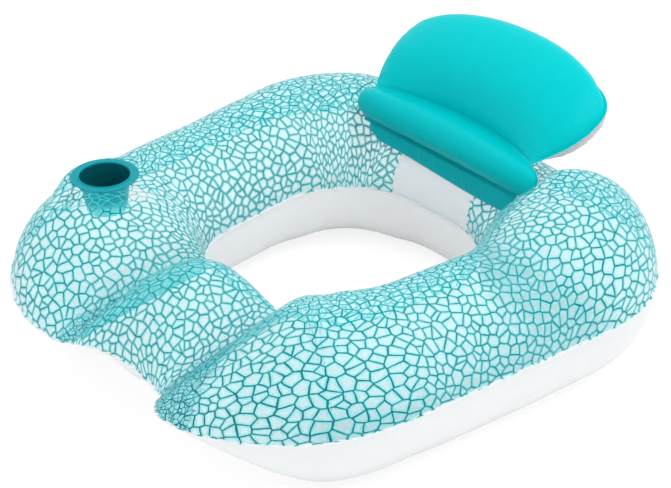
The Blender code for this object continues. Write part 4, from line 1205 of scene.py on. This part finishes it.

# %% [markdown]
# ### Cup holder and valves
# The cup holder is thicker teal sheet, vacuum formed and heat welded, with a slightly duller face. Its
# sleeve and base are one teal sheet, painted dark inside the sleeve and on the base as painted shade
# for the deep cup, told apart by which way each face points.
# The valves are injection moulded from clear soft vinyl, which looks milky where it is thick.

# %% The cup holder's sheet and the valves' vinyl
cup_sheet, tree, shader = new_material("teal PVC sheet, vacuum formed", 0.32, {"Specular IOR Level": 0.08})
waves = film_bump(tree, shader, 0.20)
shade = add_node(tree, "ShaderNodeMix", {"Factor": waves.outputs["Fac"], "A": linear("#0093A0"),
                                        "B": linear("#00A2AE")}, data_type="RGBA")
tree.links.new(shade.outputs["Result"], shader.inputs["Base Color"])
cup_sheet_painted_shade, tree, shader = new_material("teal PVC sheet, vacuum formed, with painted shade inside", 0.35,
                                        {"Specular IOR Level": 0.2})
waves = film_bump(tree, shader, 0.20)
place = add_node(tree, "ShaderNodeNewGeometry")
axis = (cup_middle.x, cup_middle.y - CHAIR_MIDDLE, 0.0)
from_axis = add_node(tree, "ShaderNodeVectorMath", {0: place.outputs["Position"], 1: axis},
                     operation="SUBTRACT")
level_only = add_node(tree, "ShaderNodeVectorMath", {0: from_axis.outputs[0], 1: (1.0, 1.0, 0.0)},
                      operation="MULTIPLY")
facing = add_node(tree, "ShaderNodeVectorMath", {0: level_only.outputs[0], 1: place.outputs["True Normal"]},
                  operation="DOT_PRODUCT")
outside = add_node(tree, "ShaderNodeMath", {0: facing.outputs["Value"], 1: 0.001}, operation="GREATER_THAN")
# Painted shade: faces that don't point out from the cup's axis, inside the sleeve and on the base, are
# painted dark teal; faces that point out are teal.
shade = add_node(tree, "ShaderNodeMix", {"Factor": outside.outputs[0], "A": linear("#005C66"),
                                        "B": linear("#00AAB6")}, data_type="RGBA")
tree.links.new(shade.outputs["Result"], shader.inputs["Base Color"])
vinyl, tree, shader = new_material("clear soft vinyl, injection moulded", 0.22,
                                   {"Transmission Weight": 0.45, "Subsurface Weight": 0.2,
                                    "Subsurface Scale": 0.003})
waves = film_bump(tree, shader, 0.12)
shade = add_node(tree, "ShaderNodeMix", {"Factor": waves.outputs["Fac"], "A": linear("#DCE8EA"),
                                        "B": linear("#EEF5F6")}, data_type="RGBA")
tree.links.new(shade.outputs["Result"], shader.inputs["Base Color"])
cup_finishes = {"cup_flange": cup_sheet, "cup_sleeve": cup_sheet_painted_shade, "cup_base": cup_sheet_painted_shade}
for name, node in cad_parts.items():
    finish = vinyl if "_valve_" in name else cup_finishes.get(name)
    if finish is not None:
        node.data.materials.clear()
        node.data.materials.append(finish)
        node.data.shade_smooth()
print("finished", sum("valve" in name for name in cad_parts), "valve pieces")

# %% [markdown]
# ## What is soft
# The backrest's two chambers are blown up tight, and so is the ring.

print("the ring and the backrest's two chambers are blown up tight")

# %% [markdown]
# ## Floor, light and camera
# A pale floor and an even studio: the world gives most of the light, a broad lamp above and behind
# the backrest lifts its top, and a faint second one from the side models the roundness. The floor
# looks white to the camera, because it gives off light there, and keeps the shadow.

# %% Floor and world
FLOOR_LIFT, FLOOR_HALF, FLOOR_GAP = 0.80, 40.0, 0.0005
WORLD_LIGHT = 0.90
floor_mesh = bpy.data.meshes.new("floor")
floor_corners = [(x * FLOOR_HALF, y * FLOOR_HALF, 0.0) for x, y in ((-1, -1), (1, -1), (1, 1), (-1, 1))]
floor_mesh.from_pydata(floor_corners, [], [(0, 1, 2, 3)])
floor = bpy.data.objects.new("floor", floor_mesh)
bpy.context.collection.objects.link(floor)
floor.location.z = -FLOOR_GAP
paper = bpy.data.materials.new("white studio paper, matt")
paper.use_nodes = True
tree = paper.node_tree
shader = tree.nodes["Principled BSDF"]
shader.inputs["Roughness"].default_value = 0.9
shader.inputs["Specular IOR Level"].default_value = 0.0
seen = add_node(tree, "ShaderNodeLightPath")
lift = add_node(tree, "ShaderNodeMath", {0: seen.outputs["Is Camera Ray"], 1: FLOOR_LIFT},
                operation="MULTIPLY")
tree.links.new(lift.outputs[0], shader.inputs["Emission Strength"])
paler = add_node(tree, "ShaderNodeMix", {"Factor": seen.outputs["Is Camera Ray"], "A": linear("#F4F4F4"),
                                        "B": linear("#959595")}, data_type="RGBA")
tree.links.new(paler.outputs["Result"], shader.inputs["Base Color"])
shader.inputs["Emission Color"].default_value = (1.0, 1.0, 1.0, 1.0)
floor_mesh.materials.append(paper)

world = bpy.data.worlds.new("studio")
bpy.context.scene.world = world
world.use_nodes = True
tree = world.node_tree
background = tree.nodes["Background"]
seen = add_node(tree, "ShaderNodeLightPath")
shown = add_node(tree, "ShaderNodeMath", {0: seen.outputs["Is Camera Ray"],
                                          1: seen.outputs["Is Glossy Ray"]}, operation="MAXIMUM")
shown = add_node(tree, "ShaderNodeMath", {0: shown.outputs[0], 1: seen.outputs["Is Transmission Ray"]},
                 operation="MAXIMUM")
strength = add_node(tree, "ShaderNodeMapRange", {"Value": shown.outputs[0], "To Min": WORLD_LIGHT,
                                                "To Max": 1.0})
tree.links.new(strength.outputs["Result"], background.inputs["Strength"])
background.inputs["Color"].default_value = (1.0, 1.0, 1.0, 1.0)
print("studio world made")


# %% Lamps
def lamp(name, place, aim, power, size):
    data = bpy.data.lights.new(name, "AREA")
    data.energy, data.size = power, size
    made = bpy.data.objects.new(name, data)
    bpy.context.collection.objects.link(made)
    made.location = place
    made.rotation_euler = (Vector(aim) - Vector(place)).to_track_quat("-Z", "Y").to_euler()
    return made


lamp("key", (1.1, 0.9, 3.0), (0.0, 0.0, 0.15), 33.0, 2.2)
lamp("side", (-1.6, -1.8, 2.4), (0.0, 0.0, 0.1), 2.0, 1.6)
print("lamps lit")

# %% [markdown]
# The camera repeats the photograph's view: from the sitter's left front, about 31 degrees up, with a
# long lens and a slight roll.

# %% Camera
EYE = Vector((2.495, -2.023 - CHAIR_MIDDLE, 2.081))
AIM = Vector((-0.0588, 0.0754 - CHAIR_MIDDLE, 0.12))
ROLL = -0.0227
LENS_MM, SENSOR_MM = 115.55, 36.0
ahead = (AIM - EYE).normalized()
right = ahead.cross(Vector((0, 0, 1))).normalized()
top = right.cross(ahead)
rolled_right = right * math.cos(ROLL) + top * math.sin(ROLL)
rolled_top = top * math.cos(ROLL) - right * math.sin(ROLL)
camera_data = bpy.data.cameras.new("camera")
camera_data.sensor_fit, camera_data.sensor_width, camera_data.lens = "HORIZONTAL", SENSOR_MM, LENS_MM
camera = bpy.data.objects.new("camera", camera_data)
bpy.context.collection.objects.link(camera)
turn = Matrix((rolled_right, rolled_top, -ahead)).transposed().to_4x4()
camera.matrix_world = Matrix.Translation(EYE) @ turn
bpy.context.scene.camera = camera
bpy.context.scene.view_settings.view_transform = "Standard"
print("camera", round((EYE - AIM).length, 2), "m away")
